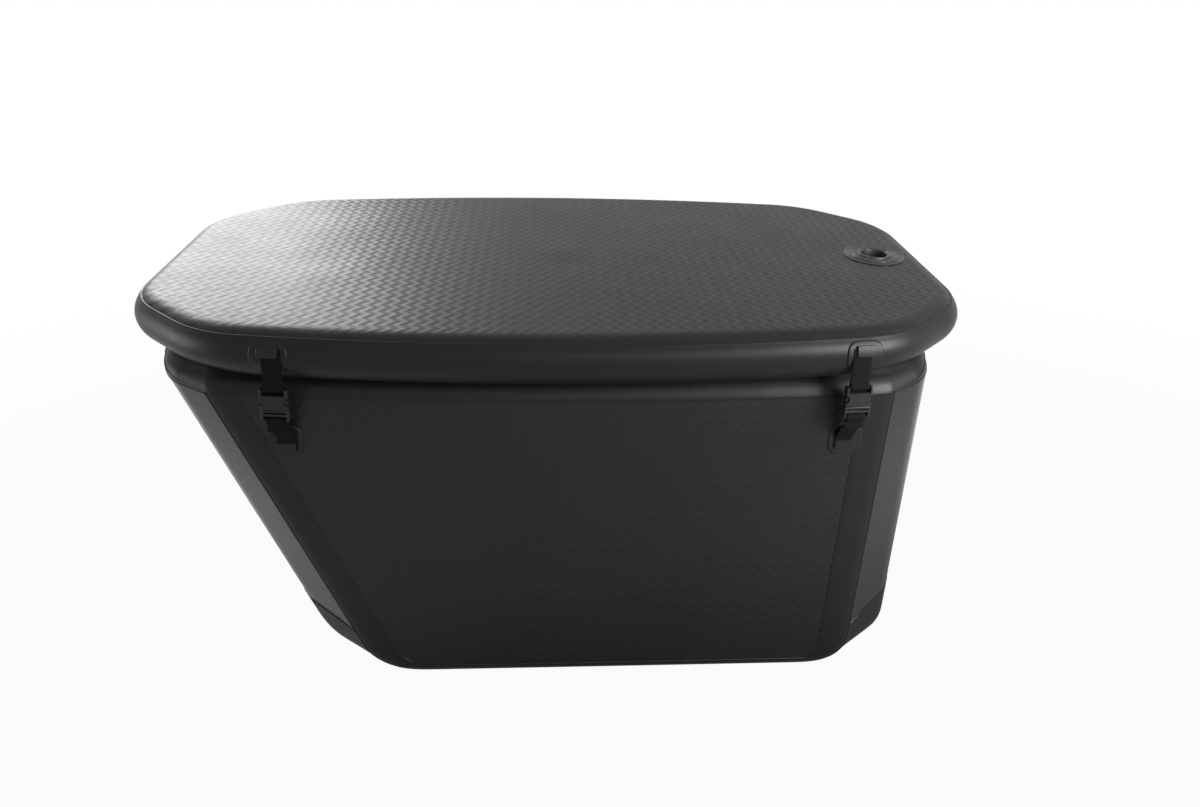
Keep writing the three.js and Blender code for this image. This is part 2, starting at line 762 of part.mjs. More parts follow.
const EYE_INSIDE = Math.hypot(BAR_HEIGHT, BAR_THICKNESS) / 2 + GAP;
const EYE_MIDDLE = EYE_INSIDE + WEB / 2;
const UPPER_BAR = SOCKET_MOUTH + SOCKET_HEIGHT - BAR_HEIGHT / 2;
const TONGUE_TOP = SOCKET_MOUTH - GAP;
const LOWER_BAR = TONGUE_TOP - TONGUE_HEIGHT + BAR_HEIGHT / 2;

// A webbing whose end is sewn into an eye round a buckle's bar at [y, z].
function eyedWebbing(line, [y, z]) {
  const eye = new THREE.Shape().absarc(y, z, EYE_INSIDE + WEB, 0, 2 * Math.PI);
  eye.holes.push(new THREE.Path().absarc(y, z, EYE_INSIDE, 0, 2 * Math.PI));
  return join(ribbon(line), barAcross(eye, WEB_WIDTH));
}

// The plane in which the buckle and the upper webbing hang, in the strap's frame.
const webPlane = (skew) => -(PATCH_SEAT + PATCH + GAP + skew + WEB / 2);

function upperWebbing(skew) {
  const plane = webPlane(skew);
  const radius = LID_ROUND - plane;
  const bend = Array.from({ length: BEND_STEPS + 1 }, (_, k) => {
    const angle = degToRad(lerp(LID_WEB_FROM, 90, k / BEND_STEPS));
    return [LID_ROUND - radius * Math.sin(angle), LID_MIDDLE + radius * Math.cos(angle)];
  });
  return eyedWebbing([...bend, [plane, UPPER_BAR + EYE_MIDDLE]], [plane, UPPER_BAR]);
}

function lowerWebbing(plane, wallAt, skew) {
  const seat = (z) => [wallAt(z) - PATCH_SEAT - PATCH - GAP - skew - WEB / 2, z];
  const low = WALL_PATCH_LOW + LOWER_WEB_BEND;
  const bend = WALL_PATCH_MIDDLE + LOWER_WEB_BEND;
  const [seatY, seatZ] = seat(bend);
  const towards = new THREE.Vector2(seatY - plane, seatZ - LOWER_BAR).setLength(EYE_MIDDLE);
  const start = [plane + towards.x, LOWER_BAR + towards.y];
  return eyedWebbing([start, seat(bend), seat(low)], [plane, LOWER_BAR]);
}

// Buckle halves, with x across, y = 0 in the webbing's plane and z = 0 at the socket's mouth

const SLOT_HALF = WEB_WIDTH / 2 + SLOT_SIDE;
const HALF_BUCKLE = SLOT_HALF + BUCKLE_CHEEK;
const HALF_CAVITY = HALF_BUCKLE - SOCKET_WALL;

// A slot for the webbing, right through a buckle half.
function webSlot(low, height) {
  return block([-SLOT_HALF, -BUCKLE_THICKNESS, low], [SLOT_HALF, BUCKLE_THICKNESS, low + height]);
}

// Cuts that slim both faces of a buckle half, which leaves a bar for the webbing to turn round.
function barReliefs(low, high) {
  const [near, far] = [BAR_THICKNESS / 2, BUCKLE_THICKNESS];
  return [
    block([-SLOT_HALF, near, low], [SLOT_HALF, far, high]),
    block([-SLOT_HALF, -far, low], [SLOT_HALF, -near, high]),
  ];
}

function buckleSocket() {
  const outline = trimmed(-HALF_BUCKLE, HALF_BUCKLE, 0, SOCKET_HEIGHT, BUCKLE_EDGE);
  const halfDepth = CAVITY_THICKNESS / 2;
  const cavity = block([-HALF_CAVITY, -halfDepth, -CAVITY_DEPTH], [HALF_CAVITY, halfDepth, CAVITY_DEPTH]);
  const windows = [-1, 1].map((side) => {
    const [left, right] = [side * HALF_CAVITY, 2 * side * HALF_BUCKLE].sort((a, b) => a - b);
    return block([left, -BUCKLE_THICKNESS, WINDOW_LOW], [right, BUCKLE_THICKNESS, WINDOW_HIGH]);
  });
  const slotLow = SOCKET_HEIGHT - BAR_HEIGHT - SLOT_HEIGHT;
  const reliefs = barReliefs(slotLow, SOCKET_HEIGHT + BAR_HEIGHT);
  const body = plateFacing(outline, BUCKLE_THICKNESS);
  return cut(body, cavity, ...windows, webSlot(slotLow, SLOT_HEIGHT), ...reliefs);
}

function buckleTongue() {
  const low = -GAP - TONGUE_HEIGHT;
  const slotLow = low + BAR_HEIGHT;
  const ladderLow = slotLow + SLOT_HEIGHT + BAR_HEIGHT;
  const reliefs = barReliefs(low - BAR_HEIGHT, slotLow + SLOT_HEIGHT);
  const [halfWidth, halfThickness] = [GUIDE_WIDTH / 2, GUIDE_THICKNESS / 2];
  const guide = block([-halfWidth, -halfThickness, -BUCKLE_EDGE], [halfWidth, halfThickness, GUIDE_LENGTH]);
  const base = plateFacing(trimmed(-HALF_BUCKLE, HALF_BUCKLE, low, -GAP, BUCKLE_EDGE), TONGUE_THICKNESS);
  return join(cut(base, webSlot(slotLow, SLOT_HEIGHT), webSlot(ladderLow, LADDER_SLOT), ...reliefs), guide);
}

// One sprung prong: a slim arm from the tongue, and a head whose shoulder shows in the socket's window.
function buckleProng(side) {
  const shoulder = HALF_BUCKLE - GAP;
  const outline = [
    [PRONG_ROOT, 0],
    [PRONG_ROOT + PRONG_ARM, 0],
    [PRONG_ROOT + PRONG_ARM, PRONG_HEAD_LOW],
    [shoulder, PRONG_HEAD_LOW],
    [shoulder, PRONG_HEAD_HIGH - BUCKLE_EDGE],
    [HALF_CAVITY - GAP, PRONG_HEAD_HIGH],
    [PRONG_ROOT + PRONG_ARM, PRONG_LENGTH],
    [PRONG_ROOT, PRONG_LENGTH],
  ].map(([x, z]) => [side * x, z]);
  if (side < 0) outline.reverse();
  return plateFacing(polygon(outline), PRONG_THICKNESS);
}

function addStrap(parent, name, x) {
  const lid = sideFace(LID_PLAN, x);
  const wall = sideFace(wallPlan(WALL_PATCH_MIDDLE), x);
  const lidReach = lid.reach + GAP + LID_ROUND;
  const lidYaw = Math.atan(lid.slope);
  const wallYaw = Math.atan(wall.slope);
  const yaw = (lidYaw + wallYaw) / 2;
  const skew = (WEB_WIDTH / 2) * Math.tan(Math.abs(lidYaw - wallYaw) / 2);

  const edge = new THREE.Group();
  edge.position.set(x, -lidReach, 0);
  edge.rotation.z = lidYaw;
  parent.add(edge);
  addPiece(edge, `${name}_lid_patch`, lidPatch(), smooth);
  addPiece(parent, `${name}_wall_patch`, wallPatch(x), smooth);

  const strap = new THREE.Group();
  strap.position.set(x, -lidReach, 0);
  strap.rotation.z = yaw;
  parent.add(strap);
  const plane = webPlane(skew);
  const wallAt = (z) => (lidReach - sideFace(wallPlan(z), x).reach) * Math.cos(yaw);
  addPiece(strap, `${name}_upper_webbing`, upperWebbing(skew), woven);
  addPiece(strap, `${name}_lower_webbing`, lowerWebbing(plane, wallAt, skew), woven);

  const buckle = new THREE.Group();
  buckle.position.set(0, plane, SOCKET_MOUTH);
  strap.add(buckle);
  addPiece(buckle, `${name}_buckle_socket`, buckleSocket(), moulded);
  addPiece(buckle, `${name}_buckle_tongue`, buckleTongue(), moulded);
  addPiece(buckle, `${name}_prong_left`, buckleProng(-1), moulded);
  addPiece(buckle, `${name}_prong_right`, buckleProng(1), moulded);
}

// Assembly

const wallValve = onFootEnd(RIM_HEIGHT - WALL_VALVE_DROP);
const drain = onFootEnd(BASE_BAND + DRAIN_OVER_FLOOR);
const lidValve = new THREE.Group();
lidValve.position.set(FOOT_REACH + LID_FOOT_OVERHANG - LID_VALVE_FROM_END, 0, LID_TOP);
lidValve.updateMatrix();

const footPockets = [valvePocket().applyMatrix4(wallValve.matrix), pipeHole().applyMatrix4(drain.matrix)];
addPiece(tub, "floor_panel", floorPanel(), embossed);
addPiece(tub, "front_wall", wallPanel(FRONT), embossed);
addPiece(tub, "back_wall", wallPanel(BACK), embossed);
addPiece(tub, "backrest_wall", wallPanel(HEAD), embossed);
addPiece(tub, "foot_wall", cut(wallPanel(FOOT), ...footPockets), embossed);
for (const [name, side] of Object.entries(CORNERS)) {
  addPiece(tub, `${name}_corner`, wallPanel(side), embossed);
  addPiece(tub, `${name}_corner_tape`, cornerTape(side), smooth);
}
addPiece(tub, "rim_band", rimBand(), smooth);
addPiece(tub, "base_band", baseBand(), smooth);

addPiece(tub, "lid_panel", cut(lidPanel(), valvePocket().applyMatrix4(lidValve.matrix)), embossed);
addPiece(tub, "lid_edge_band", lidEdgeBand(), smooth);

addPiece(lidValve, "lid_valve_ring", valveRing(), smooth);
addValve(lidValve, "lid");
addValve(wallValve, "wall");
addPiece(drain, "drain_flange", drainFlange(), valvePlastic);
addPiece(drain, "drain_nut", drainNut(), valvePlastic);
addPiece(drain, "drain_gasket", drainGasket(), rubber);
addPiece(drain, "drain_cap", drainCap(), valvePlastic);
tub.add(lidValve, wallValve, drain);

for (const [place, mirror] of [["front", 1], ["back", -1]]) {
  const straps = new THREE.Group();
  straps.scale.y = mirror;
  addStrap(straps, `${place}_left`, STRAP_LEFT);
  addStrap(straps, `${place}_right`, STRAP_RIGHT);
  tub.add(straps);
}

export default tub;
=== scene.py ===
"""Looks of an inflatable cold plunge tub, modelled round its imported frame.

Metres; +X runs to the foot end, +Y to the back and +Z up. The frame gives the places of the hardware, and
the forms of the wall and the lid repeat the sizes that the frame was made with.
"""
import json
import logging
import math
from dataclasses import dataclass
from enum import Enum, IntEnum
from functools import cache
from typing import Any, Callable, Dict, List, Optional, Sequence, Tuple, Union

import bmesh
import bpy
import numpy as np
from mathutils import Matrix, Vector


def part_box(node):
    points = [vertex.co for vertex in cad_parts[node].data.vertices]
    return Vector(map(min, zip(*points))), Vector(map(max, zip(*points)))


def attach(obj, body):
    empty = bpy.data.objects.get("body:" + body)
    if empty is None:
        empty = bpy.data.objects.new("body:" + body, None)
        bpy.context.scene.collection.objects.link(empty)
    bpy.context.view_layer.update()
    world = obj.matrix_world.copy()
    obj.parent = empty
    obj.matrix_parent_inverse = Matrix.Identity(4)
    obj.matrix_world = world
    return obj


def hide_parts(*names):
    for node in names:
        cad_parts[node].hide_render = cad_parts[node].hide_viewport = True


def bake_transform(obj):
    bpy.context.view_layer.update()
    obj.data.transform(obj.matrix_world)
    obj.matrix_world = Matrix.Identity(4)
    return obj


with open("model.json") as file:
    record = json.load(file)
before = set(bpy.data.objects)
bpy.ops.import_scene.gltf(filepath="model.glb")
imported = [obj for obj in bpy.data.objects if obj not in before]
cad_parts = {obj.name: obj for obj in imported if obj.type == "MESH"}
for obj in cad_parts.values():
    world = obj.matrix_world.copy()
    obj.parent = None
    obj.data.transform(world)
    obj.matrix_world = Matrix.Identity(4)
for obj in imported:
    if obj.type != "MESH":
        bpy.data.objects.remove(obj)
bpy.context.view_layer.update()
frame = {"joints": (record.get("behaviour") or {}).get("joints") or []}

LOG = logging.getLogger("plunge_tub")
WELD = 1e-6
TURN = 2 * math.pi

Colour = Tuple[float, float, float, float]
Placing = Callable[[np.ndarray, np.ndarray, np.ndarray], np.ndarray]


class Slot(Enum):
    """The record's material slots."""

    EMBOSSED = "embossed_pvc"
    SMOOTH = "smooth_pvc"
    WEBBING = "webbing"
    BUCKLE = "buckle_plastic"
    VALVE = "valve_plastic"
    SPRING = "spring_steel"
    GASKET = "gasket_rubber"


class Side(IntEnum):
    """The wall's eight sides, anticlockwise from the front."""

    FRONT = 0
    FRONT_RIGHT = 1
    FOOT = 2
    BACK_RIGHT = 3
    BACK = 4
    BACK_LEFT = 5
    HEAD = 6
    FRONT_LEFT = 7

    @property
    def node(self) -> str:
        """The frame node of this side's panel."""
        names = {Side.FRONT: "front_wall", Side.BACK: "back_wall", Side.FOOT: "foot_wall", Side.HEAD: "backrest_wall"}
        return names.get(self, f"{self.name.lower()}_corner")


SIDES = len(Side)
LONG_SIDES = (Side.FRONT, Side.BACK)
END_SIDES = (Side.FOOT, Side.HEAD)
CORNERS = (Side.FRONT_RIGHT, Side.BACK_RIGHT, Side.BACK_LEFT, Side.FRONT_LEFT)
BROAD_FIRST = (Side.FRONT_RIGHT, Side.BACK_LEFT)


# Shader maths


class Shade:
    """A shader socket whose values can be used in Python expressions."""

    def __init__(self, tree: "ShaderTree", socket: bpy.types.NodeSocket) -> None:
        """Wraps a socket of a tree."""
        self.tree = tree
        self.socket = socket

    def maths(self, operation: str, *values: "Amount") -> "Shade":
        """Adds a Math node.

        Args:
            operation: The Math node's operation.
            values: Its inputs, in order.

        Returns:
            The node's result.
        """
        return self.tree.node("ShaderNodeMath", {"operation": operation}, dict(enumerate(values)))

    def __add__(self, other: "Amount") -> "Shade":
        """The sum."""
        return self.maths("ADD", self, other)

    __radd__ = __add__

    def __sub__(self, other: "Amount") -> "Shade":
        """The difference."""
        return self.maths("SUBTRACT", self, other)

    def __rsub__(self, other: "Amount") -> "Shade":
        """The reflected difference."""
        return self.maths("SUBTRACT", other, self)

    def __mul__(self, other: "Amount") -> "Shade":
        """The product."""
        return self.maths("MULTIPLY", self, other)

    __rmul__ = __mul__

    def __pow__(self, other: "Amount") -> "Shade":
        """The power."""
        return self.maths("POWER", self, other)

    def wave(self) -> "Shade":
        """A sine brought into the range from 0 to 1."""
        return self.maths("SINE", self) * 0.5 + 0.5

    def larger(self, other: "Amount") -> "Shade":
        """The larger of two values."""
        return self.maths("MAXIMUM", self, other)


Amount = Union[Shade, float]


class ShaderTree:
    """The node tree of one material, or of the world."""

    def __init__(self, name: str, world: bool = False) -> None:
        """Starts an empty material or world.

        Args:
            name: Its name.
            world: Whether it is a world.
        """
        self.owner = (bpy.data.worlds if world else bpy.data.materials).new(name)
        self.owner.use_nodes = True
        self.kind = "ShaderNodeOutputWorld" if world else "ShaderNodeOutputMaterial"
        self.nodes = self.owner.node_tree.nodes
        self.links = self.owner.node_tree.links
        self.nodes.clear()

    def node(
        self,
        kind: str,
        settings: Optional[Dict[str, Any]] = None,
        inputs: Optional[Dict[Union[int, str], Any]] = None,
        output: Union[int, str] = 0,
    ) -> Shade:
        """Adds any node.

        Args:
            kind: The node's type.
            settings: Properties that are set before the inputs; stops fills a colour ramp.
            inputs: Values or links for its sockets, by name or number.
            output: The socket to return.

        Returns:
            That output socket.
        """
        made = self.nodes.new(kind)
        for key, value in (settings or {}).items():
            if key == "stops":
                for element, (position, colour) in zip(made.color_ramp.elements, value):
                    element.position = position
                    element.color = colour
            else:
                setattr(made, key, value)
        for key, value in (inputs or {}).items():
            if isinstance(value, Shade):
                self.links.new(value.socket, made.inputs[key])
            else:
                made.inputs[key].default_value = value
        return Shade(self, made.outputs[output])

    def place(self) -> Shade:
        """Object coordinates."""
        return self.node("ShaderNodeTexCoord", output="Object")

    def strand(self) -> Shade:
        """The piece's own UV map, in metres."""
        return self.node("ShaderNodeTexCoord", output="UV")

    def noise(self, vector: Shade, scale: float, detail: float = 2.0) -> Shade:
        """Smooth noise from 0 to 1.

        Args:
            vector: The coordinates.
            scale: Features for each metre.
            detail: Octaves.

        Returns:
            The noise value.
        """
        return self.node("ShaderNodeTexNoise", None, {"Vector": vector, "Scale": scale, "Detail": detail})

    def part(self, vector: Shade, axis: str) -> Shade:
        """One coordinate of a vector, by its letter."""
        return self.node("ShaderNodeSeparateXYZ", None, {0: vector}, axis)

    def blend(self, factor: Amount, first: Colour, second: Colour) -> Shade:
        """A colour between two, clamped to them.

        Args:
            factor: 0 gives the first, 1 the second.
            first: A linear colour.
            second: A linear colour.

        Returns:
            The mixed colour.
        """
        settings = {"data_type": "RGBA", "clamp_factor": True}
        return self.node("ShaderNodeMix", settings, {0: factor, 6: first, 7: second}, 2)

    def bump(self, height: Shade, distance: float, strength: float = 1.0) -> Shade:
        """A normal from a height.

        Args:
            height: The height from 0 to 1.
            distance: How many metres a height of 1 stands up.
            strength: How much of it shows.

        Returns:
            The bumped normal.
        """
        return self.node("ShaderNodeBump", None, {"Height": height, "Distance": distance, "Strength": strength})

    def finish(self, inputs: Dict[str, Any]) -> bpy.types.Material:
        """Adds the surface shader.

        Args:
            inputs: Values or links for the Principled shader.

        Returns:
            The finished material.
        """
        surface = self.node("ShaderNodeBsdfPrincipled", None, inputs)
        self.node_output(surface)
        return self.owner

    def node_output(self, surface: Shade) -> None:
        """Links a shader to the tree's output."""
        made = self.nodes.new(self.kind)
        self.links.new(surface.socket, made.inputs["Surface"])


def grey(level: float, warmth: float = 0.0) -> Colour:
    """A linear grey.

    Args:
        level: Its linear lightness.
        warmth: The share that red gains and blue loses.

    Returns:
        The colour with full alpha.
    """
    return (level * (1 + warmth), level, level * (1 - warmth), 1.0)


# Finishes


@dataclass(frozen=True)
class Finish:
    """What every finish of the tub has."""

    name: str
    slot: Slot
    dark: Colour
    pale: Colour
    roughness: float
    specular: float

    def material(self) -> bpy.types.Material:
        """The material, made once."""
        return made_material(self)

    def make(self, tree: ShaderTree) -> bpy.types.Material:
        """Fills the tree; each finish has its own."""
        raise NotImplementedError


@cache
def made_material(finish: Finish) -> bpy.types.Material:
    """Makes a finish's material the first time that it is asked for."""
    return finish.make(ShaderTree(finish.name))


@dataclass(frozen=True)
class EmbossedSkin(Finish):
    """Coated fabric with pressed zigzag lines, whose crests are rubbed a little smoother."""

    grain: float = 1100.0
    grain_height: float = 0.00012
    mottle: float = 7.0
    polish: float = 0.05

    def make(self, tree: ShaderTree) -> bpy.types.Material:
        """Fills the tree with grain, mottling and rubbed crests."""
        place = tree.place()
        ridge = tree.node("ShaderNodeAttribute", {"attribute_name": "ridge"}, None, "Fac")
        mottle = tree.noise(place, self.mottle, 4.0)
        scuff = tree.noise(place, self.mottle * 9, 3.0)
        grain = tree.noise(place, self.grain, 3.0)
        colour = tree.blend(ridge * 0.25 + mottle * 0.5 + scuff * 0.25, self.dark, self.pale)
        roughness = self.roughness + (mottle - 0.5) * 0.12 + (scuff - 0.5) * 0.08 - ridge * self.polish
        return tree.finish(
            {
                "Base Color": colour,
                "Roughness": roughness,
                "Specular IOR Level": self.specular,
                "Normal": tree.bump(grain, self.grain_height),
            }
        )


@dataclass(frozen=True)
class SmoothBand(Finish):
    """Smooth coated band: a fine skin, slow waves from the weld, and faint scuffs."""

    skin: float = 1600.0
    skin_height: float = 0.00005
    wave: float = 16.0
    wave_height: float = 0.0016

    def make(self, tree: ShaderTree) -> bpy.types.Material:
        """Fills the tree with waves, skin and scuffs."""
        place = tree.place()
        wave = tree.noise(place, self.wave, 1.0)
        skin = tree.noise(place, self.skin, 2.0)
        scuff = tree.noise(place, self.wave * 8, 5.0)
        height = wave + skin * (self.skin_height / self.wave_height)
        colour = tree.blend(scuff * 0.6 + wave * 0.4, self.dark, self.pale)
        return tree.finish(
            {
                "Base Color": colour,
                "Roughness": self.roughness + (scuff - 0.5) * 0.16,
                "Specular IOR Level": self.specular,
                "Normal": tree.bump(height, self.wave_height, 0.6),
            }
        )


@dataclass(frozen=True)
class WovenWebbing(Finish):
    """Flat woven webbing: ribs along its length, crossed by the weft's steps."""

    rib: float = 0.0032
    pick: float = 0.0021
    height: float = 0.00035

    def make(self, tree: ShaderTree) -> bpy.types.Material:
        """Fills the tree with the weave, read from the strap's own UV map."""
        strand = tree.strand()
        across = tree.part(strand, "X")
        along = tree.part(strand, "Y")
        ribs = (across * (TURN / self.rib)).wave()
        slant = along + across * 0.5
        picks = (slant * (TURN / self.pick)).wave()
        fibre = tree.noise(tree.place(), 2600.0, 2.0)
        weave = ribs * 0.6 + picks * 0.3 + fibre * 0.25
        return tree.finish(
            {
                "Base Color": tree.blend(weave * 0.8, self.dark, self.pale),
                "Roughness": self.roughness - ribs * 0.1,
                "Specular IOR Level": self.specular,
                "Normal": tree.bump(weave, self.height),
            }
        )


@dataclass(frozen=True)
class MouldedPlastic(Finish):
    """Moulded plastic with a spark-eroded texture and slight flow marks."""

    spark: float = 2400.0
    spark_height: float = 0.00006
    flow: float = 90.0

    def make(self, tree: ShaderTree) -> bpy.types.Material:
        """Fills the tree with the mould's texture."""
        place = tree.place()
        spark = tree.noise(place, self.spark, 2.0)
        flow = tree.noise(place, self.flow, 3.0)
        return tree.finish(
            {
                "Base Color": tree.blend(flow, self.dark, self.pale),
                "Roughness": self.roughness + (flow - 0.5) * 0.14 + (spark - 0.5) * 0.1,
                "Specular IOR Level": self.specular,
                "Normal": tree.bump(spark, self.spark_height),
            }
        )


@dataclass(frozen=True)
class DrawnSteel(Finish):
    """Drawn spring wire with faint draw lines."""

    def make(self, tree: ShaderTree) -> bpy.types.Material:
        """Fills the tree with the wire's tarnish."""
        tarnish = tree.noise(tree.place(), 1500.0, 3.0)
        return tree.finish(
            {
                "Base Color": tree.blend(tarnish, self.dark, self.pale),
                "Metallic": 1.0,
                "Roughness": self.roughness + tarnish * 0.2,
                "Specular IOR Level": self.specular,
            }
        )


PANEL_SKIN = EmbossedSkin("embossed_coated_fabric", Slot.EMBOSSED, grey(0.005), grey(0.012), 0.44, 0.20)
CORNER_SKIN = EmbossedSkin("stretched_coated_fabric", Slot.EMBOSSED, grey(0.004), grey(0.010), 0.28, 0.36)
BAND_SKIN = SmoothBand("smooth_coated_band", Slot.SMOOTH, grey(0.005), grey(0.009), 0.42, 0.17)
PATCH_SKIN = SmoothBand("welded_patch", Slot.SMOOTH, grey(0.006), grey(0.011), 0.44, 0.18)
STRAP_WEB = WovenWebbing("black_webbing", Slot.WEBBING, grey(0.002), grey(0.006), 0.85, 0.08)
BUCKLE_PLASTIC = MouldedPlastic("grey_buckle_plastic", Slot.BUCKLE, grey(0.009), grey(0.014), 0.45, 0.2)
VALVE_PLASTIC = MouldedPlastic("grey_valve_plastic", Slot.VALVE, grey(0.020), grey(0.034), 0.38, 0.45)
SPRING_STEEL = DrawnSteel("spring_wire", Slot.SPRING, grey(0.30), grey(0.52), 0.25, 0.5)
SEAL_RUBBER = MouldedPlastic("seal_rubber", Slot.GASKET, grey(0.006), grey(0.012), 0.75, 0.25)


# Mesh helpers


def add_piece(
    name: str,
    form: bmesh.types.BMesh,
    finish: Finish,
    body: str,
    nodes: Sequence[str],
    crease: float = 35.0,
    squeeze: Optional[Tuple[str, Vector, Vector]] = None,
) -> bpy.types.Object:
    """Turns a form into a piece that rides its body, unless it is squeezed, and stands for its nodes, which are hidden.

    Args:
        name: The piece's name.
        form: The mesh, which is used up.
        finish: Its finish.
        body: The frame body that it rides.
        nodes: The frame nodes that it stands for.
        crease: Edges sharper than this many degrees stay sharp.
        squeeze: When given, the piece is fixed in place in the world and rides no body; the second body and the ends in
            it are not used.

    Returns:
        The new object.
    """
    mesh = bpy.data.meshes.new(name)
    form.to_mesh(mesh)
    form.free()
    mesh.shade_smooth()
    mesh.set_sharp_from_angle(angle=math.radians(crease))
    mesh.materials.append(finish.material())
    piece = bpy.data.objects.new(name, mesh)
    bpy.context.scene.collection.objects.link(piece)
    if squeeze is None:
        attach(piece, body)
    else:
        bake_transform(piece)
    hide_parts(*nodes)
    LOG.info("%s: %d faces on %s", name, len(mesh.polygons), body)
    return piece


def numbered_grid(columns: int, rows: int) -> bmesh.types.BMesh:
    """A flat grid whose vertices hold their column and row numbers as x and y.

    Args:
        columns: Steps along x.
        rows: Steps along y.

    Returns:
        The grid.
    """
    grid = bmesh.new()
    bmesh.ops.create_grid(grid, x_segments=columns, y_segments=rows, size=1.0)
    for vert in grid.verts:
        column = round((vert.co.x + 1) / 2 * columns)
        row = round((vert.co.y + 1) / 2 * rows)
        vert.co = (column, row, 0.0)
    return grid


def points_of(form: bmesh.types.BMesh) -> np.ndarray:
    """The form's vertices as an array of one row each."""
    return np.array([vert.co[:] for vert in form.verts])


def put_points(form: bmesh.types.BMesh, points: np.ndarray) -> None:
    """Moves the form's vertices to new points, in order."""
    for vert, point in zip(form.verts, points.tolist()):
        vert.co = point


def mark_ridges(form: bmesh.types.BMesh, crest: np.ndarray) -> None:
    """Keeps how high each vertex stands in the pressed pattern, for the skin's finish."""
    layer = form.verts.layers.float.new("ridge")
    for vert, share in zip(form.verts, crest.tolist()):
        vert[layer] = share


def close_up(form: bmesh.types.BMesh, weld: float = WELD) -> None:
    """Merges doubles and turns the faces outwards."""
    bmesh.ops.remove_doubles(form, verts=form.verts, dist=weld)
    bmesh.ops.recalc_face_normals(form, faces=form.faces)


def thicken(form: bmesh.types.BMesh) -> np.ndarray:
    """Doubles a sheet into two layers joined round the edge.

    Args:
        form: The sheet.

    Returns:
        A mask of the vertices of the under layer.
    """
    made = bmesh.ops.extrude_face_region(form, geom=form.faces[:], use_keep_orig=True)
    under = {item for item in made["geom"] if isinstance(item, bmesh.types.BMVert)}
    return np.array([vert in under for vert in form.verts])


def joined(parts: Sequence[bmesh.types.BMesh]) -> bmesh.types.BMesh:
    """Gathers several forms into one, using them up."""
    whole = bmesh.new()
    for part in parts:
        mesh = bpy.data.meshes.new("part")
        part.to_mesh(mesh)
        part.free()
        whole.from_mesh(mesh)
        bpy.data.meshes.remove(mesh)
    return whole


def moved(form: bmesh.types.BMesh, matrix: Matrix) -> bmesh.types.BMesh:
    """Transforms a form in place, with its faces kept outwards."""
    bmesh.ops.transform(form, matrix=matrix, verts=form.verts)
    if matrix.determinant() < 0:
        bmesh.ops.reverse_faces(form, faces=form.faces)
    return form


def block(low: Sequence[float], high: Sequence[float], edge: float = 0.0) -> bmesh.types.BMesh:
    """A block between two corners.

    Args:
        low: Its lowest corner.
        high: Its highest corner.
        edge: How far its edges are rounded.

    Returns:
        The block.
    """
    form = bmesh.new()
    bmesh.ops.create_cube(form, size=1.0)
    size = Vector(high) - Vector(low)
    middle = (Vector(high) + Vector(low)) / 2
    bmesh.ops.scale(form, vec=size, verts=form.verts)
    bmesh.ops.translate(form, vec=middle, verts=form.verts)
    if edge:
        round_edges(form, form.edges[:], edge)
    return form


def round_edges(form: bmesh.types.BMesh, edges: Sequence[bmesh.types.BMEdge], width: float, steps: int = 3) -> None:
    """Rounds some of a form's edges.

    Args:
        form: The form.
        edges: Its edges to round.
        width: How far from the edge the round starts.
        steps: Segments of the round.
    """
    bmesh.ops.bevel(
        form, geom=list(edges), offset=width, segments=steps, profile=0.5, affect="EDGES", material=-1,
        clamp_overlap=True,
    )


def drum(radius: float, low: float, high: float, sides: int = 40) -> bmesh.types.BMesh:
    """A plain round drum along Z, used for cutting."""
    form = bmesh.new()
    bmesh.ops.create_cone(
        form, cap_ends=True, segments=sides, radius1=radius, radius2=radius, depth=high - low,
    )
    bmesh.ops.translate(form, vec=(0, 0, (low + high) / 2), verts=form.verts)
    return form


def plate(outline: Sequence[Tuple[float, float]], thickness: float) -> bmesh.types.BMesh:
    """An [x, z] outline made so thick along Y, about y = 0.

    Args:
        outline: The outline's points.
        thickness: The plate's thickness.

    Returns:
        The plate.
    """
    form = bmesh.new()
    verts = [form.verts.new((x, -thickness / 2, z)) for x, z in outline]
    face = form.faces.new(verts)
    made = bmesh.ops.extrude_face_region(form, geom=[face], use_keep_orig=True)
    fresh = [item for item in made["geom"] if isinstance(item, bmesh.types.BMVert)]
    bmesh.ops.translate(form, vec=(0, thickness, 0), verts=fresh)
    bmesh.ops.recalc_face_normals(form, faces=form.faces)
    return form


def carved(blank: bmesh.types.BMesh, tools: Sequence[bmesh.types.BMesh]) -> bmesh.types.BMesh:
    """Cuts tools out of a blank, using them all up.

    Args:
        blank: The form that is cut.
        tools: The forms that are taken out of it.

    Returns:
        What is left.
    """
    made = []
    for form in (blank, *tools):
        mesh = bpy.data.meshes.new("carving")
        form.to_mesh(mesh)
        form.free()
        made.append(bpy.data.objects.new("carving", mesh))
        bpy.context.scene.collection.objects.link(made[-1])
    for tool in made[1:]:
        cut = made[0].modifiers.new("cut", "BOOLEAN")
        cut.operation = "DIFFERENCE"
        cut.solver = "EXACT"
        cut.object = tool
    left = bmesh.new()
    left.from_object(made[0], bpy.context.evaluated_depsgraph_get())
    for thing in made:
        mesh = thing.data
        bpy.data.objects.remove(thing)
        bpy.data.meshes.remove(mesh)
    return left


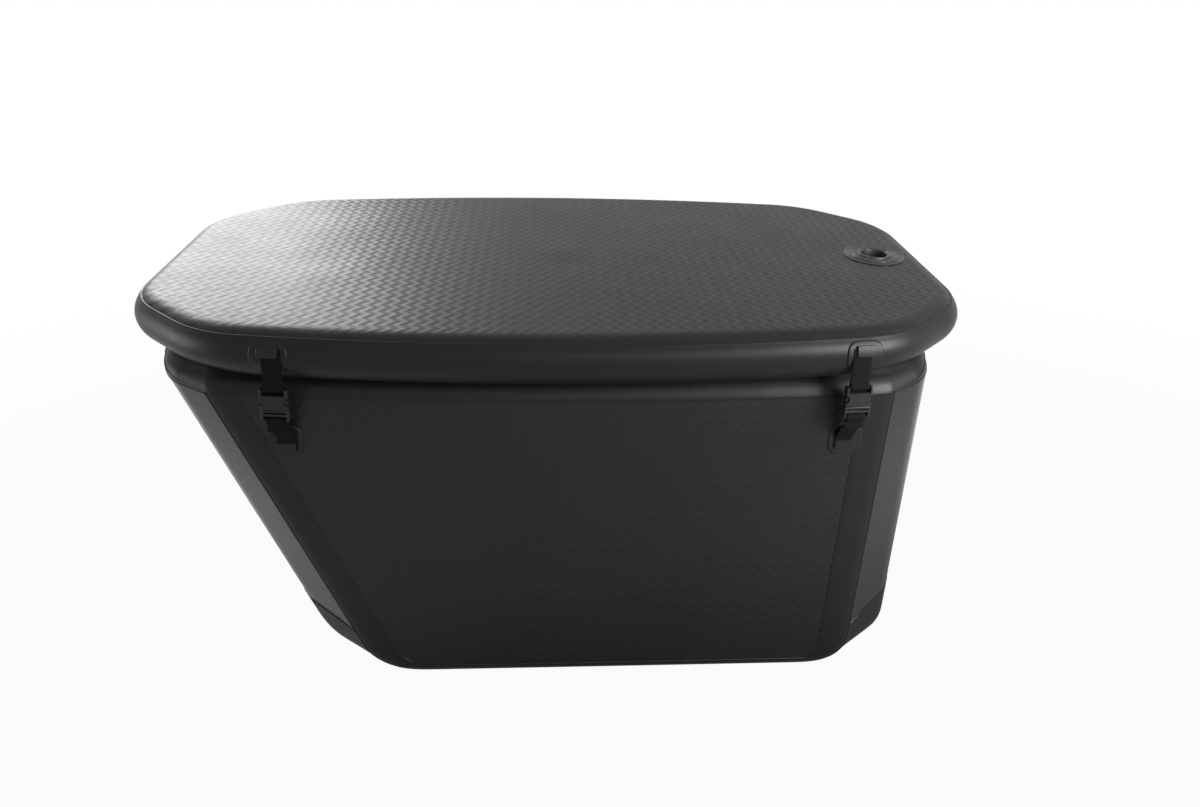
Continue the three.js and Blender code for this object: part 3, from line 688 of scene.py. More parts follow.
def lathe(profile: Sequence[Tuple[float, float]], closed: bool = True, steps: int = 72) -> bmesh.types.BMesh:
    """A turned form about +Z.

    Args:
        profile: [radius, height] points.
        closed: Whether the profile's last point joins its first.
        steps: Sides of the turned form.

    Returns:
        The closed form.
    """
    form = bmesh.new()
    verts = [form.verts.new((radius, 0.0, height)) for radius, height in profile]
    ring = [*verts, verts[0]] if closed else verts
    for first, second in zip(ring, ring[1:]):
        form.edges.new((first, second))
    bmesh.ops.spin(
        form, geom=form.verts[:] + form.edges[:], cent=(0, 0, 0), axis=(0, 0, 1), angle=TURN, steps=steps,
        use_merge=True,
    )
    close_up(form)
    return form


def eased_profile(points: Sequence[Tuple[float, float]], radius: float, steps: int = 3) -> List[Tuple[float, float]]:
    """A closed profile whose corners are rounded.

    Args:
        points: The profile's corners.
        radius: How far from a corner its round starts, at most a third of a side.
        steps: Steps of each round.

    Returns:
        The rounded profile.
    """
    eased = []
    corners = [Vector(point) for point in points]
    for before, corner, after in zip(corners[-1:] + corners[:-1], corners, corners[1:] + corners[:1]):
        back, on = before - corner, after - corner
        start = corner + back.normalized() * min(radius, back.length / 3)
        end = corner + on.normalized() * min(radius, on.length / 3)
        for step in range(steps + 1):
            share = step / steps
            eased.append(tuple(start * (1 - share) ** 2 + corner * 2 * share * (1 - share) + end * share**2))
    return eased


# Outlines with eight sides


def cross(first: np.ndarray, second: np.ndarray) -> np.ndarray:
    """The cross product of flat vectors in the last axis."""
    return first[..., 0] * second[..., 1] - first[..., 1] * second[..., 0]


@dataclass(frozen=True)
class EightSided:
    """An outline with bowed long sides, straight ends and cut corners, eased into each other.

    A place round it is a number from 0 to 16: each side takes 1, and the round after it takes 1.
    """

    def eases(self, z: np.ndarray) -> np.ndarray:
        """How far the rounds reach into the start and the end of each side, at each height."""
        raise NotImplementedError

    def sharp_corners(self, z: np.ndarray) -> np.ndarray:
        """The corners before rounding, one row for each height."""
        raise NotImplementedError

    def swell(self, z: np.ndarray) -> np.ndarray:
        """How far the middle of a long side bows out at each height."""
        raise NotImplementedError

    def corners(self, z: np.ndarray, insets: np.ndarray) -> np.ndarray:
        """The corners with every side moved in.

        Args:
            z: Heights.
            insets: How far each of the eight sides is moved in, for each height.

        Returns:
            Eight corners for each height.
        """
        base = self.sharp_corners(z)
        along = np.roll(base, -1, axis=1) - base
        along = along / np.linalg.norm(along, axis=2, keepdims=True)
        outward = np.stack((along[..., 1], -along[..., 0]), axis=2)
        start = base - outward * insets[..., None]
        before = np.roll(start, 1, axis=1)
        before_along = np.roll(along, 1, axis=1)
        share = cross(start - before, along) / cross(before_along, along)
        return before + before_along * share[..., None]

    def run(self, corners: np.ndarray, side: np.ndarray) -> Tuple[np.ndarray, np.ndarray, np.ndarray]:
        """A side's start, direction and length, for each row of corners."""
        rows = np.arange(len(corners))
        start = corners[rows, side % SIDES]
        reach = corners[rows, (side + 1) % SIDES] - start
        length = np.linalg.norm(reach, axis=1)
        return start, reach / length[:, None], length

    def at(self, corners: np.ndarray, side: np.ndarray, distance: np.ndarray, z: np.ndarray) -> np.ndarray:
        """Points on sides.

        Args:
            corners: Eight corners for each point.
            side: The side that each point lies on.
            distance: How far along it the point lies.
            z: The point's height.

        Returns:
            Flat points.
        """
        start, along, length = self.run(corners, side)
        outward = np.stack((along[:, 1], -along[:, 0]), axis=1)
        share = 2 * distance / length - 1
        rise = np.where(side % (SIDES // 2) == 0, self.swell(z) * (1 - share**2), 0.0)
        return start + along * distance[:, None] + outward * rise[:, None]

    def around(self, place: np.ndarray, z: np.ndarray, insets: np.ndarray, ease: float = 1.0) -> np.ndarray:
        """Points round the eased outline.

        Args:
            place: Places from 0 to 16.
            z: Their heights.
            insets: How far each side is moved in, for each point.
            ease: A share of the usual rounds.

        Returns:
            Flat points.
        """
        side = np.floor(place / 2).astype(int) % SIDES
        share = place - 2 * np.floor(place / 2)
        corners = self.corners(z, insets)
        rows = np.arange(len(z))
        after = (side + 1) % SIDES
        reach = self.eases(z) * ease
        here = reach[rows, side]
        length = self.run(corners, side)[2]
        straight = self.at(corners, side, here[:, 0] + np.clip(share, 0, 1) * (length - here.sum(axis=1)), z)
        first = self.at(corners, side, length - here[:, 1], z)
        last = self.at(corners, after, reach[rows, after, 0], z)
        turn = np.clip(share - 1, 0, 1)[:, None]
        middle = corners[rows, after]
        bend = first * (1 - turn) ** 2 + middle * 2 * turn * (1 - turn) + last * turn**2
        return np.where((share <= 1)[:, None], straight, bend)


def ring_places(long_steps: int, short_steps: int, round_steps: int) -> np.ndarray:
    """Places round an eight-sided outline.

    Args:
        long_steps: Steps along a long side.
        short_steps: Steps along an end or a cut corner.
        round_steps: Steps round each bend.

    Returns:
        Places from 0 up to 16, without the last.
    """
    places = []
    for side in Side:
        steps = long_steps if side in LONG_SIDES else short_steps
        places.extend(2 * side + np.arange(steps) / steps)
        places.extend(2 * side + 1 + np.arange(round_steps) / round_steps)
    return np.array(places)


def ring_form(sections: Sequence[np.ndarray]) -> bmesh.types.BMesh:
    """A ring from closed loops that follow each other round its section.

    Args:
        sections: One array of points for each loop, all as long as each other.

    Returns:
        The closed ring.
    """
    loops = np.stack([*sections, sections[0]])
    loops = np.concatenate((loops, loops[:, :1]), axis=1)
    form = numbered_grid(loops.shape[1] - 1, loops.shape[0] - 1)
    numbers = points_of(form).astype(int)
    put_points(form, loops[numbers[:, 1], numbers[:, 0]])
    close_up(form)
    return form


# Pressed pattern


@dataclass(frozen=True)
class Zigzag:
    """Raised zigzag lines, side by side, pressed into a panel's skin."""

    period: float = 0.028
    spacing: float = 0.022
    swing: float = 0.016
    height: float = 0.0007
    sunk: float = 0.65
    columns: int = 4
    rows: int = 5

    def sheet(self, low: Sequence[float], high: Sequence[float], turned: bool = False) -> bmesh.types.BMesh:
        """A flat sheet whose edges follow the lines, with the line's height from 0 to 1 as z.

        Args:
            low: The lowest corner to cover.
            high: The highest corner to cover.
            turned: Whether the lines run along the second axis.

        Returns:
            The sheet.
        """
        order = (1, 0) if turned else (0, 1)
        step = np.array((self.period / self.columns, self.spacing / self.rows))
        first = np.floor(np.array([low[axis] for axis in order]) / step - (1, self.rows)).astype(int)
        last = np.ceil(np.array([high[axis] for axis in order]) / step + (1, self.rows)).astype(int)
        form = numbered_grid(*(last - first).tolist())
        numbers = points_of(form)[:, :2] + first
        along, across = (numbers * step).T
        half = self.period / 2
        fold = np.abs((along / half) % 2 - 1) - 0.5
        crest = 0.5 - 0.5 * np.cos(TURN * numbers[:, 1] / self.rows)
        flat = (along, across + fold * self.swing)
        put_points(form, np.stack((flat[order[0]], flat[order[1]], crest), axis=1))
        return form

    def rise(self, crest: np.ndarray) -> np.ndarray:
        """How far a crest of 0 to 1 stands over the panel's face."""
        return (crest - self.sunk) * self.height


ZIGZAG = Zigzag()


def trim(form: bmesh.types.BMesh, first: Sequence[float], second: Sequence[float]) -> None:
    """Cuts away what lies to the right of a line across a flat sheet.

    Args:
        form: The sheet.
        first: A point on the line.
        second: A later point on the line.
    """
    along = Vector((second[0] - first[0], second[1] - first[1], 0.0))
    bmesh.ops.bisect_plane(
        form, geom=form.verts[:] + form.edges[:] + form.faces[:], dist=WELD,
        plane_co=(first[0], first[1], 0.0), plane_no=(along.y, -along.x, 0.0), clear_outer=True,
    )


def punch(form: bmesh.types.BMesh, middle: Sequence[float], radius: float) -> None:
    """Takes the faces of a flat sheet away round a point."""
    centre = Vector((middle[0], middle[1]))
    inside = [face for face in form.faces if (face.calc_center_median().xy - centre).length < radius]
    bmesh.ops.delete(form, geom=inside, context="FACES")


def sink_pocket(form: bmesh.types.BMesh, valve: "InflationValve") -> None:
    """Opens a skin under a valve and sinks a closed pocket there.

    Args:
        form: The form with the skin.
        valve: The valve that stands in the pocket.
    """
    inside = []
    for face in form.faces:
        offset = face.calc_center_median() - valve.middle
        level = offset.dot(valve.direction)
        if abs(level) < valve.pocket_radius / 4 and (offset - valve.direction * level).length < valve.pocket_radius:
            inside.append(face)
    bmesh.ops.delete(form, geom=inside, context="FACES")
    mouth = [edge for edge in form.edges if edge.is_boundary]
    made = bmesh.ops.extrude_edge_only(form, edges=mouth)["geom"]
    fresh = [item for item in made if isinstance(item, bmesh.types.BMVert)]
    bmesh.ops.translate(form, vec=valve.direction * -valve.pocket_depth, verts=fresh)
    bmesh.ops.holes_fill(form, edges=[edge for edge in form.edges if edge.is_boundary])


# The wall


@dataclass(frozen=True)
class WallForm(EightSided):
    """The outer form of the tub's wall."""

    rim: float = 0.650
    thickness: float = 0.080
    head_low: float = 0.442
    head_high: float = 0.699
    foot: float = 0.681
    reach: float = 0.350
    rim_bow: float = 0.022
    low_cut: Tuple[float, float] = (0.132, 0.101)
    high_cut: Tuple[float, float] = (0.108, 0.056)
    broad_ease: float = 0.040
    corner_ease: float = 0.012
    long_round: float = 0.034
    foot_round: float = 0.064
    head_round: float = 0.095
    corner_round: float = 0.070
    foot_eases: Tuple[float, float] = (0.110, 0.055)
    head_eases: Tuple[float, float] = (0.105, 0.053)
    wrap: float = 0.75

    def eases(self, z: np.ndarray) -> np.ndarray:
        """How far the rounds reach into the start and the end of each side; those at the ends are large."""
        plain = np.array([self.corner_ease if side in CORNERS else self.broad_ease for side in Side])
        reach = np.tile(plain[None, :, None], (len(z), 1, 2))
        for end, (wide, narrow) in ((Side.FOOT, self.foot_eases), (Side.HEAD, self.head_eases)):
            reach[:, end] = wide
            reach[:, end - 1, 1] = narrow
            reach[:, end + 1, 0] = narrow
        return reach

    def sharp_corners(self, z: np.ndarray) -> np.ndarray:
        """The corners before rounding, one row for each height."""
        share = z / self.rim
        head = self.head_low + (self.head_high - self.head_low) * share
        along = self.low_cut[0] + (self.high_cut[0] - self.low_cut[0]) * share
        across = self.low_cut[1] + (self.high_cut[1] - self.low_cut[1]) * share
        foot = np.full_like(z, self.foot)
        reach = np.full_like(z, self.reach)
        xs = (along - head, foot - along, foot, foot, foot - along, along - head, -head, -head)
        ys = (-reach, -reach, across - reach, reach - across, reach, reach, reach - across, across - reach)
        return np.stack((np.stack(xs, axis=1), np.stack(ys, axis=1)), axis=2)

    def swell(self, z: np.ndarray) -> np.ndarray:
        """How far the middle of a long side bows out at each height."""
        return self.rim_bow * z / self.rim

    def rim_inset(self, z: np.ndarray) -> np.ndarray:
        """How far the rounded rim draws the outer face in at each height."""
        half = self.thickness / 2
        over = np.clip(z - (self.rim - half), 0, half)
        return half - np.sqrt(half**2 - over**2)

    def insets(self, z: np.ndarray) -> np.ndarray:
        """How far the rounds at the base and the rim draw each side in."""
        rounds = {Side.FRONT: self.long_round, Side.BACK: self.long_round}
        rounds.update({Side.FOOT: self.foot_round, Side.HEAD: self.head_round})
        radius = np.array([rounds.get(side, self.corner_round) for side in Side])
        under = np.clip(radius - z[:, None], 0, radius)
        return radius - np.sqrt(radius**2 - under**2) + self.rim_inset(z)[:, None]

    def inner_insets(self, z: np.ndarray) -> np.ndarray:
        """The insets of the inner face."""
        return np.repeat((self.thickness - self.rim_inset(z))[:, None], SIDES, axis=1)

    def origin(self, corners: np.ndarray, side: Side) -> np.ndarray:
        """Where a side's flat pattern has its zero: over the tub's middle, or half way along a cut corner."""
        start, along, length = self.run(corners, np.full(len(corners), int(side)))
        if side in CORNERS:
            return length / 2
        axis = 0 if side in LONG_SIDES else 1
        return -start[:, axis] * along[:, axis]

    def span(self, corners: np.ndarray, side: Side, z: np.ndarray, lap: float) -> Tuple[np.ndarray, np.ndarray]:
        """Where a panel starts and ends along its side.

        Args:
            corners: Eight corners for each height.
            side: The panel's side.
            z: Heights.
            lap: How far the panel reaches under the tapes, past where the rounds start.

        Returns:
            Distances along the side.
        """
        reach = self.eases(z)[:, side] - lap
        if side in CORNERS:
            edge = int(side in BROAD_FIRST)
            reach[:, edge] -= self.wrap * self.bend(corners, side + edge, z)[3]
        length = self.run(corners, np.full(len(z), int(side)))[2]
        return reach[:, 0], length - reach[:, 1]

    def bend(self, corners: np.ndarray, corner: int, z: np.ndarray) -> Tuple[np.ndarray, ...]:
        """The round over one corner.

        Args:
            corners: Eight corners for each height.
            corner: The corner's number; it lies before the side of that number.
            z: Heights.

        Returns:
            Where the round starts, its tip, where it ends, and its length.
        """
        before, after = np.full(len(z), (corner - 1) % SIDES), np.full(len(z), corner % SIDES)
        reach = self.eases(z)
        first = self.at(corners, before, self.run(corners, before)[2] - reach[:, before[0], 1], z)
        last = self.at(corners, after, reach[:, after[0], 0], z)
        tip = corners[:, after[0]]
        legs = np.linalg.norm(tip - first, axis=1) + np.linalg.norm(last - tip, axis=1)
        return first, tip, last, (2 * np.linalg.norm(last - first, axis=1) + legs) / 3

    def laid(self, corners: np.ndarray, side: int, distance: np.ndarray, z: np.ndarray) -> Tuple[np.ndarray, np.ndarray]:
        """Points along a side and on over the rounds at its ends.

        Args:
            corners: Eight corners for each height.
            side: The side's number.
            distance: Distances along the side, which may run past it.
            z: Heights.

        Returns:
            Flat points and their outward directions.
        """
        sides = np.full(len(z), side)
        _, heading, length = self.run(corners, sides)
        points = self.at(corners, sides, distance, z)
        reach = self.eases(z)[:, side]
        for corner, over in ((side, reach[:, 0] - distance), (side + 1, distance - length + reach[:, 1])):
            first, tip, last, arc = self.bend(corners, corner, z)
            share = np.clip(over / arc, 0, 1)
            turn = (1 - share if corner == side else share)[:, None]
            way = (tip - first) * (1 - turn) + (last - tip) * turn
            way = way / np.linalg.norm(way, axis=1, keepdims=True)
            past = np.clip(over - arc, 0, None) * (-1 if corner == side else 1)
            bent = first * (1 - turn) ** 2 + tip * 2 * turn * (1 - turn) + last * turn**2 + way * past[:, None]
            points = np.where((over > 0)[:, None], bent, points)
            heading = np.where((over > 0)[:, None], way, heading)
        return points, np.stack((heading[:, 1], -heading[:, 0]), axis=1)

    def face(self, side: Side, flat: np.ndarray, z: np.ndarray, out: np.ndarray, lap: Optional[float] = None) -> np.ndarray:
        """Lays a panel's flat pattern on a face of the wall.

        Args:
            side: The panel's side.
            flat: Distances along the side from its zero.
            z: Heights.
            out: How far each point stands off the face.
            lap: With the panel's lap, the pattern is spread over the inner face.

        Returns:
            Points in space.
        """
        corners = self.corners(z, self.insets(z))
        distance = self.origin(corners, side) + flat
        if lap is None:
            points, outward = self.laid(corners, side, distance, z)
            return np.column_stack((points + outward * out[:, None], z))
        start, end = self.span(corners, side, z, lap)
        corners = self.corners(z, self.inner_insets(z))
        sides = np.full(len(z), int(side))
        _, along, length = self.run(corners, sides)
        inward = np.stack((-along[:, 1], along[:, 0]), axis=1)
        points = self.at(corners, sides, np.clip((distance - start) / (end - start), 0, 1) * length, z)
        return np.column_stack((points + inward * out[:, None], z))

    def hem_line(self, side: Side, lap: float, z: np.ndarray) -> Tuple[np.ndarray, np.ndarray]:
        """Where a panel's flat pattern ends on both sides, at each height."""
        corners = self.corners(z, self.insets(z))
        zero = self.origin(corners, side)
        start, end = self.span(corners, side, z, lap)
        return start - zero, end - zero


@dataclass
class TubBody:
    """The tub: eight wall panels, corner tapes, rim and base bands and the floor."""

    form: WallForm = WallForm()
    body: str = "tub"
    broad_lap: float = 0.003
    corner_lap: float = 0.002
    panel_low: float = 0.022
    corner_low: float = 0.072
    hem_bend: float = 0.130
    hem_sink: float = 0.0006
    hem_fade: float = 0.004
    long_high: float = 0.602
    end_high: float = 0.639
    end_drop: float = 0.004
    long_seam: float = 0.598
    end_seam: float = 0.635
    rim_tube: float = 0.050
    rim_tube_middle: float = 0.588
    rim_tube_end: float = 55.0
    rim_bulge: float = 0.0015
    band_proud: float = 0.0016
    tape_proud: float = 0.0012
    tape_bead: float = 0.0030
    tape_under: float = 0.001
    tape_broad_lap: float = 0.007
    tape_corner_lap: float = 0.005
    tape_low: float = 0.016
    window_low: float = 0.092
    window_high: float = 0.165
    inner_tape: float = 0.014
    base_seam: float = 0.030
    corner_relief: float = 0.25
    floor_top: float = 0.060
    floor_bottom: float = 0.006
    floor_inset: float = 0.081
    base_lap: float = 0.135

    def build(self) -> None:
        """Builds the whole tub body."""
        for side in Side:
            self.build_panel(side)
        for side in CORNERS:
            self.build_tape(side)
        self.build_rim()
        self.build_base()
        self.build_floor()

    def build_panel(self, side: Side) -> None:
        """Builds one wall panel with its pressed skins inside and out.

        Args:
            side: The wall's side.
        """
        form = self.form
        lap = self.corner_lap if side in CORNERS else self.broad_lap
        low = self.corner_low if side in CORNERS else self.panel_low
        high = self.long_high if side in LONG_SIDES else self.end_high
        levels = np.array((*np.linspace(low, self.hem_bend, 7), self.long_high))
        left, right = form.hem_line(side, lap, levels)
        if side in END_SIDES:
            left, right = self.straight_hem(levels, left, -1), self.straight_hem(levels, right, 1)
            levels = levels[[0, -1]]
        sheet = ZIGZAG.sheet((min(left), low), (max(right), high))
        for step in range(len(levels) - 1):
            trim(sheet, (left[step + 1], levels[step + 1]), (left[step], levels[step]))
            trim(sheet, (right[step], levels[step]), (right[step + 1], levels[step + 1]))
        trim(sheet, (left[0], low), (right[0], low))
        trim(sheet, (right[-1], high), (left[-1], high))
        if side in CORNERS:
            ends = (self.long_high, self.end_high - self.end_drop)
            first, last = ends if side in BROAD_FIRST else ends[::-1]
            trim(sheet, (right[-1], last), (left[-1], first))
        drain = DRAIN.middle
        if side is Side.FOOT:
            punch(sheet, (0.0, drain.z), DRAIN.pipe_radius * 1.2)
        under = thicken(sheet)
        flat = points_of(sheet)
        stand = ZIGZAG.rise(flat[:, 2]) * np.clip((self.end_high - flat[:, 1]) / 0.02, 0, 1)
        stand = stand * (self.corner_relief if side in CORNERS else 1.0)
        if side in END_SIDES:
            left, right = form.hem_line(side, lap, flat[:, 1])
            inside = np.minimum(flat[:, 0] - left, right - flat[:, 0])
            stand = np.where(inside < 0, -self.hem_sink, stand * np.clip(inside / self.hem_fade, 0, 1))
        outer = form.face(side, flat[:, 0], flat[:, 1], stand)
        inner = form.face(side, flat[:, 0], flat[:, 1], stand, lap)
        put_points(sheet, np.where(under[:, None], inner, outer))
        mark_ridges(sheet, flat[:, 2])
        bmesh.ops.recalc_face_normals(sheet, faces=sheet.faces)
        if side is Side.FOOT:
            sink_pocket(sheet, WALL_VALVE)
        skin = CORNER_SKIN if side in CORNERS else PANEL_SKIN
        add_piece(f"fine_{side.node}", sheet, skin, self.body, [side.node], 60.0)

    @staticmethod
    def straight_hem(levels: np.ndarray, hem: np.ndarray, way: int) -> np.ndarray:
        """A straight hem that leaves out no part of a curved one.

        Args:
            levels: Heights.
            hem: Where the curved hem lies at each height.
            way: The direction that leads off the panel.

        Returns:
            Where the straight hem starts and ends.
        """
        line = np.interp(levels, levels[[0, -1]], hem[[0, -1]])
        return hem[[0, -1]] + way * max(way * (hem - line))

    def build_tape(self, side: Side) -> None:
        """Builds a cut corner's seam tape: two legs outside, joined below the window, and two inside.

        Args:
            side: The cut corner's side.
        """
        broad_first = side in BROAD_FIRST
        legs = []
        for corner in (int(side), int(side) + 1):
            on_end = (corner == int(side)) != broad_first
            legs.append(self.tape_leg(corner, corner == int(side), on_end))
            legs.append(self.inner_leg(corner))
        name = f"{side.name.lower()}_corner_tape"
        add_piece(f"fine_{name}", joined(legs), BAND_SKIN, self.body, [name], 50.0)

    def tape_leg(self, corner: int, panel_after: bool, on_end: bool) -> bmesh.types.BMesh:
        """One leg of a tape, laid over an edge of the wall.

        Args:
            corner: The edge's number; it lies before the side of that number.
            panel_after: Whether the cut corner's panel lies after the edge.
            on_end: Whether the edge is shared with an end wall, where the leg spreads below the window.

        Returns:
            The leg.
        """
        form = self.form
        laps = (1.0, 0.9, 0.7, 0.35, 0.0)
        rises = (-0.0008, 0.0003, 0.0006, 0.0009, self.tape_proud)
        edge = np.array((0.0045, 0.0025, 0.0009, 0.0))
        bead = (self.tape_proud, self.tape_bead, 0.0009, -0.0008)
        flats = 4 + 18
        last = flats + len(edge) - 1
        rows = 72
        grid = numbered_grid(last, rows)
        under = thicken(grid)
        numbers = points_of(grid)
        column = numbers[:, 0]
        inwards = np.interp(column, (flats - 3, last), (0, self.tape_corner_lap))
        top = self.end_high - self.end_drop if on_end else self.long_high + 0.5 * inwards
        z = self.tape_low + (top - self.tape_low) * numbers[:, 1] / rows
        corners = form.corners(z, form.insets(z))
        panel = corner % SIDES if panel_after else (corner - 1) % SIDES
        length = form.run(corners, np.full(len(z), panel))[2]
        ease = form.eases(z)[:, panel, 0 if panel_after else 1]
        arc = form.bend(corners, corner, z)[3]
        reach = arc + self.tape_corner_lap
        spread = np.zeros(len(z))
        if on_end:
            reach = reach - form.wrap * arc
            spread = np.clip((self.window_high - z) / (self.window_high - self.window_low), 0, 1)
            spread = spread * spread * (3 - 2 * spread)
            reach = reach + (arc + length - ease - form.corner_ease - reach) * spread
        way = np.interp(column, (4, flats), (0.0, 1.0)) * (reach - edge[0])
        way = way + np.interp(column, range(flats, last + 1), edge[0] - edge) * (column >= flats)
        way = way - self.tape_broad_lap * np.interp(column, range(5), laps)
        distance = ease - arc + way if panel_after else length - ease + arc - way
        flat, outward = form.laid(corners, panel, distance, z)
        stand = np.interp(column, (*range(5), *range(flats, last + 1)), (*rises, *bead))
        flush = 1 - 0.6 * np.clip(spread * 4, 0, 1) * (column >= flats)
        stand = np.where(under, -self.tape_under, stand * flush)
        put_points(grid, np.column_stack((flat + outward * stand[:, None], z)))
        bmesh.ops.recalc_face_normals(grid, faces=grid.faces)
        return grid

    def inner_leg(self, corner: int) -> bmesh.types.BMesh:
        """A narrow tape over an edge inside the tub.

        Args:
            corner: The edge's number.

        Returns:
            The tape.
        """
        form = self.form
        columns = 6
        rows = 24
        grid = numbered_grid(columns, rows)
        under = thicken(grid)
        numbers = points_of(grid)
        column = numbers[:, 0]
        z = self.floor_top + (self.long_high - self.floor_top) * numbers[:, 1] / rows
        stand = np.where(under, -self.tape_under, np.interp(np.minimum(column, columns - column), (0, 1), (0.0, self.tape_proud)))
        corners = form.corners(z, form.inner_insets(z) + stand[:, None])
        share = column / columns * 2 - 1
        before = np.full(len(z), (corner - 1) % SIDES)
        after = np.full(len(z), corner % SIDES)
        first = form.at(corners, before, form.run(corners, before)[2] + self.inner_tape * np.minimum(share, 0), z)
        second = form.at(corners, after, self.inner_tape * np.maximum(share, 0), z)
        flat = np.where((share < 0)[:, None], first, second)
        put_points(grid, np.column_stack((flat, z)))
        bmesh.ops.recalc_face_normals(grid, faces=grid.faces)
        return grid

    def seam_heights(self, places: np.ndarray) -> np.ndarray:
        """The height of the rim band's lower edge, which climbs across the cut corners.

        Args:
            places: Places round the wall.

        Returns:
            The heights, softened where they turn.
        """
        knots, heights = [], []
        for side in Side:
            if side in LONG_SIDES:
                ends = (self.long_seam, self.long_seam)
            elif side in END_SIDES:
                ends = (self.end_seam, self.end_seam)
            else:
                ends = (self.long_seam + 0.001, self.long_seam + 0.35 * (self.end_seam - self.long_seam))
                ends = ends if side in BROAD_FIRST else ends[::-1]
            knots.extend((2 * side, 2 * side + 1))
            heights.extend(ends)
        sharp = np.interp(places, [*knots, 2 * SIDES], [*heights, heights[0]])
        soft = np.convolve(np.concatenate((sharp[-2:], sharp, sharp[:2])), np.ones(5) / 5, mode="valid")
        return soft

    def rim_tube_section(self) -> np.ndarray:
        """The rim's outer section on a long side: a tube that the lid presses flat on top.

        Returns:
            Rows of share, inset and height, from the seam to the top.
        """
        form = self.form
        first = math.asin((self.long_seam - self.rim_tube_middle) / self.rim_tube)
        angles = np.linspace(first, math.radians(self.rim_tube_end), 24)
        inset = self.rim_tube * (1 - np.cos(angles)) - self.rim_bulge
        section = np.column_stack((inset, self.rim_tube_middle + self.rim_tube * np.sin(angles)))
        section = np.vstack((section, (form.thickness / 2, form.rim)))
        length = np.concatenate(((0.0,), np.cumsum(np.linalg.norm(np.diff(section, axis=0), axis=1))))
        return np.column_stack((length / length[-1], section))

    def build_rim(self) -> None:
        """Builds the rounded rim band, over the tops of all the panels."""
        form = self.form
        half = form.thickness / 2
        spring = form.rim - half
        places = ring_places(72, 16, 12)
        seam = self.seam_heights(places)
        start = np.where(seam < spring, seam - spring, half * np.arcsin(np.clip((seam - spring) / half, 0, 1)))
        top = half * math.pi / 2
        shares = np.array((0.0, 0.014, 0.036, *np.linspace(0.09, 1.0, 18)))
        prouds = np.array((-0.6, 0.55, *np.ones(len(shares) - 2))) * (1 - shares**2) * self.band_proud
        squash = np.clip((self.end_seam - seam) / (self.end_seam - self.long_seam), 0, 1)
        tube = self.rim_tube_section()

        def loop(length: np.ndarray, share: float, proud: float, inner: bool) -> np.ndarray:
            """A loop so far up the section from where the round springs."""
            angle = np.clip(length, 0, None) / half
            z = spring + np.where(length < 0, length, half * np.sin(angle))
            inset = np.where(length < 0, 0.0, half * (1 - np.cos(angle)))
            if inner:
                inset = form.thickness - inset + proud
                ease = 0.3 + 0.4 * share
            else:
                z = z + (np.interp(share, tube[:, 0], tube[:, 2]) - z) * squash
                inset = inset + (np.interp(share, tube[:, 0], tube[:, 1]) - inset) * squash - proud
                ease = 1.0 - 0.2 * share
            flat = form.around(places, z, np.repeat(inset[:, None], SIDES, axis=1), ease)
            return np.column_stack((flat, z))

        loops = [loop(start + (top - start) * share, share, proud, False) for share, proud in zip(shares, prouds)]
        low = self.long_seam - spring
        for share, proud in zip(shares[-2::-1], prouds[-2::-1]):
            loops.append(loop(np.full_like(start, low + (top - low) * share), share, proud, True))
        add_piece("fine_rim_band", ring_form(loops), BAND_SKIN, self.body, ["rim_band"], 60.0)

    def build_base(self) -> None:
        """Builds the base band: a rounded skirt that laps under the floor."""
        form = self.form
        places = ring_places(72, 16, 12)

        def loop(z: float, inset: np.ndarray, ease: float = 1.0) -> np.ndarray:
            """A loop at a height with insets of its own."""
            heights = np.full(len(places), z)
            return np.column_stack((form.around(places, heights, np.tile(inset, (len(places), 1)), ease), heights))

        def outer(z: float, proud: float) -> np.ndarray:
            """The outer face's loop at a height."""
            inset = form.insets(np.array((z,)))[0] - proud * self.band_proud
            return loop(z, inset)

        steps = 18
        loops = [outer(self.base_seam, -0.6), outer(self.base_seam - 0.0009, 0.55), outer(self.base_seam - 0.0024, 1.0)]
        for step in range(steps - 1, -1, -1):
            z = (self.base_seam - 0.004) * (step / steps) ** 2
            loops.append(outer(z, step / steps))
        lap = np.full(SIDES, self.base_lap)
        loops.append(loop(0.0, lap, 0.3))
        loops.append(loop(0.004, lap, 0.3))
        loops.append(loop(0.0045, np.full(SIDES, self.floor_inset + 0.03), 0.3))
        loops.append(loop(self.base_seam - 0.003, np.full(SIDES, 0.05), 0.5))
        add_piece("fine_base_band", ring_form(loops[::-1]), BAND_SKIN, self.body, ["base_band"], 60.0)

    def build_floor(self) -> None:
        """Builds the inflated floor with its pressed top."""
        form = self.form
        top = np.array((self.floor_top,))
        corners = form.corners(top, np.full((1, SIDES), self.floor_inset))[0]
        sheet = ZIGZAG.sheet(corners.min(axis=0), corners.max(axis=0))
        for first, second in zip(corners, np.roll(corners, -1, axis=0)):
            trim(sheet, first, second)
        under = thicken(sheet)
        flat = points_of(sheet)
        height = np.where(under, self.floor_bottom, self.floor_top + ZIGZAG.rise(flat[:, 2]))
        put_points(sheet, np.column_stack((flat[:, :2], height)))
        mark_ridges(sheet, flat[:, 2])
        bmesh.ops.recalc_face_normals(sheet, faces=sheet.faces)
        add_piece("fine_floor_panel", sheet, PANEL_SKIN, self.body, ["floor_panel"], 60.0)


# The lid


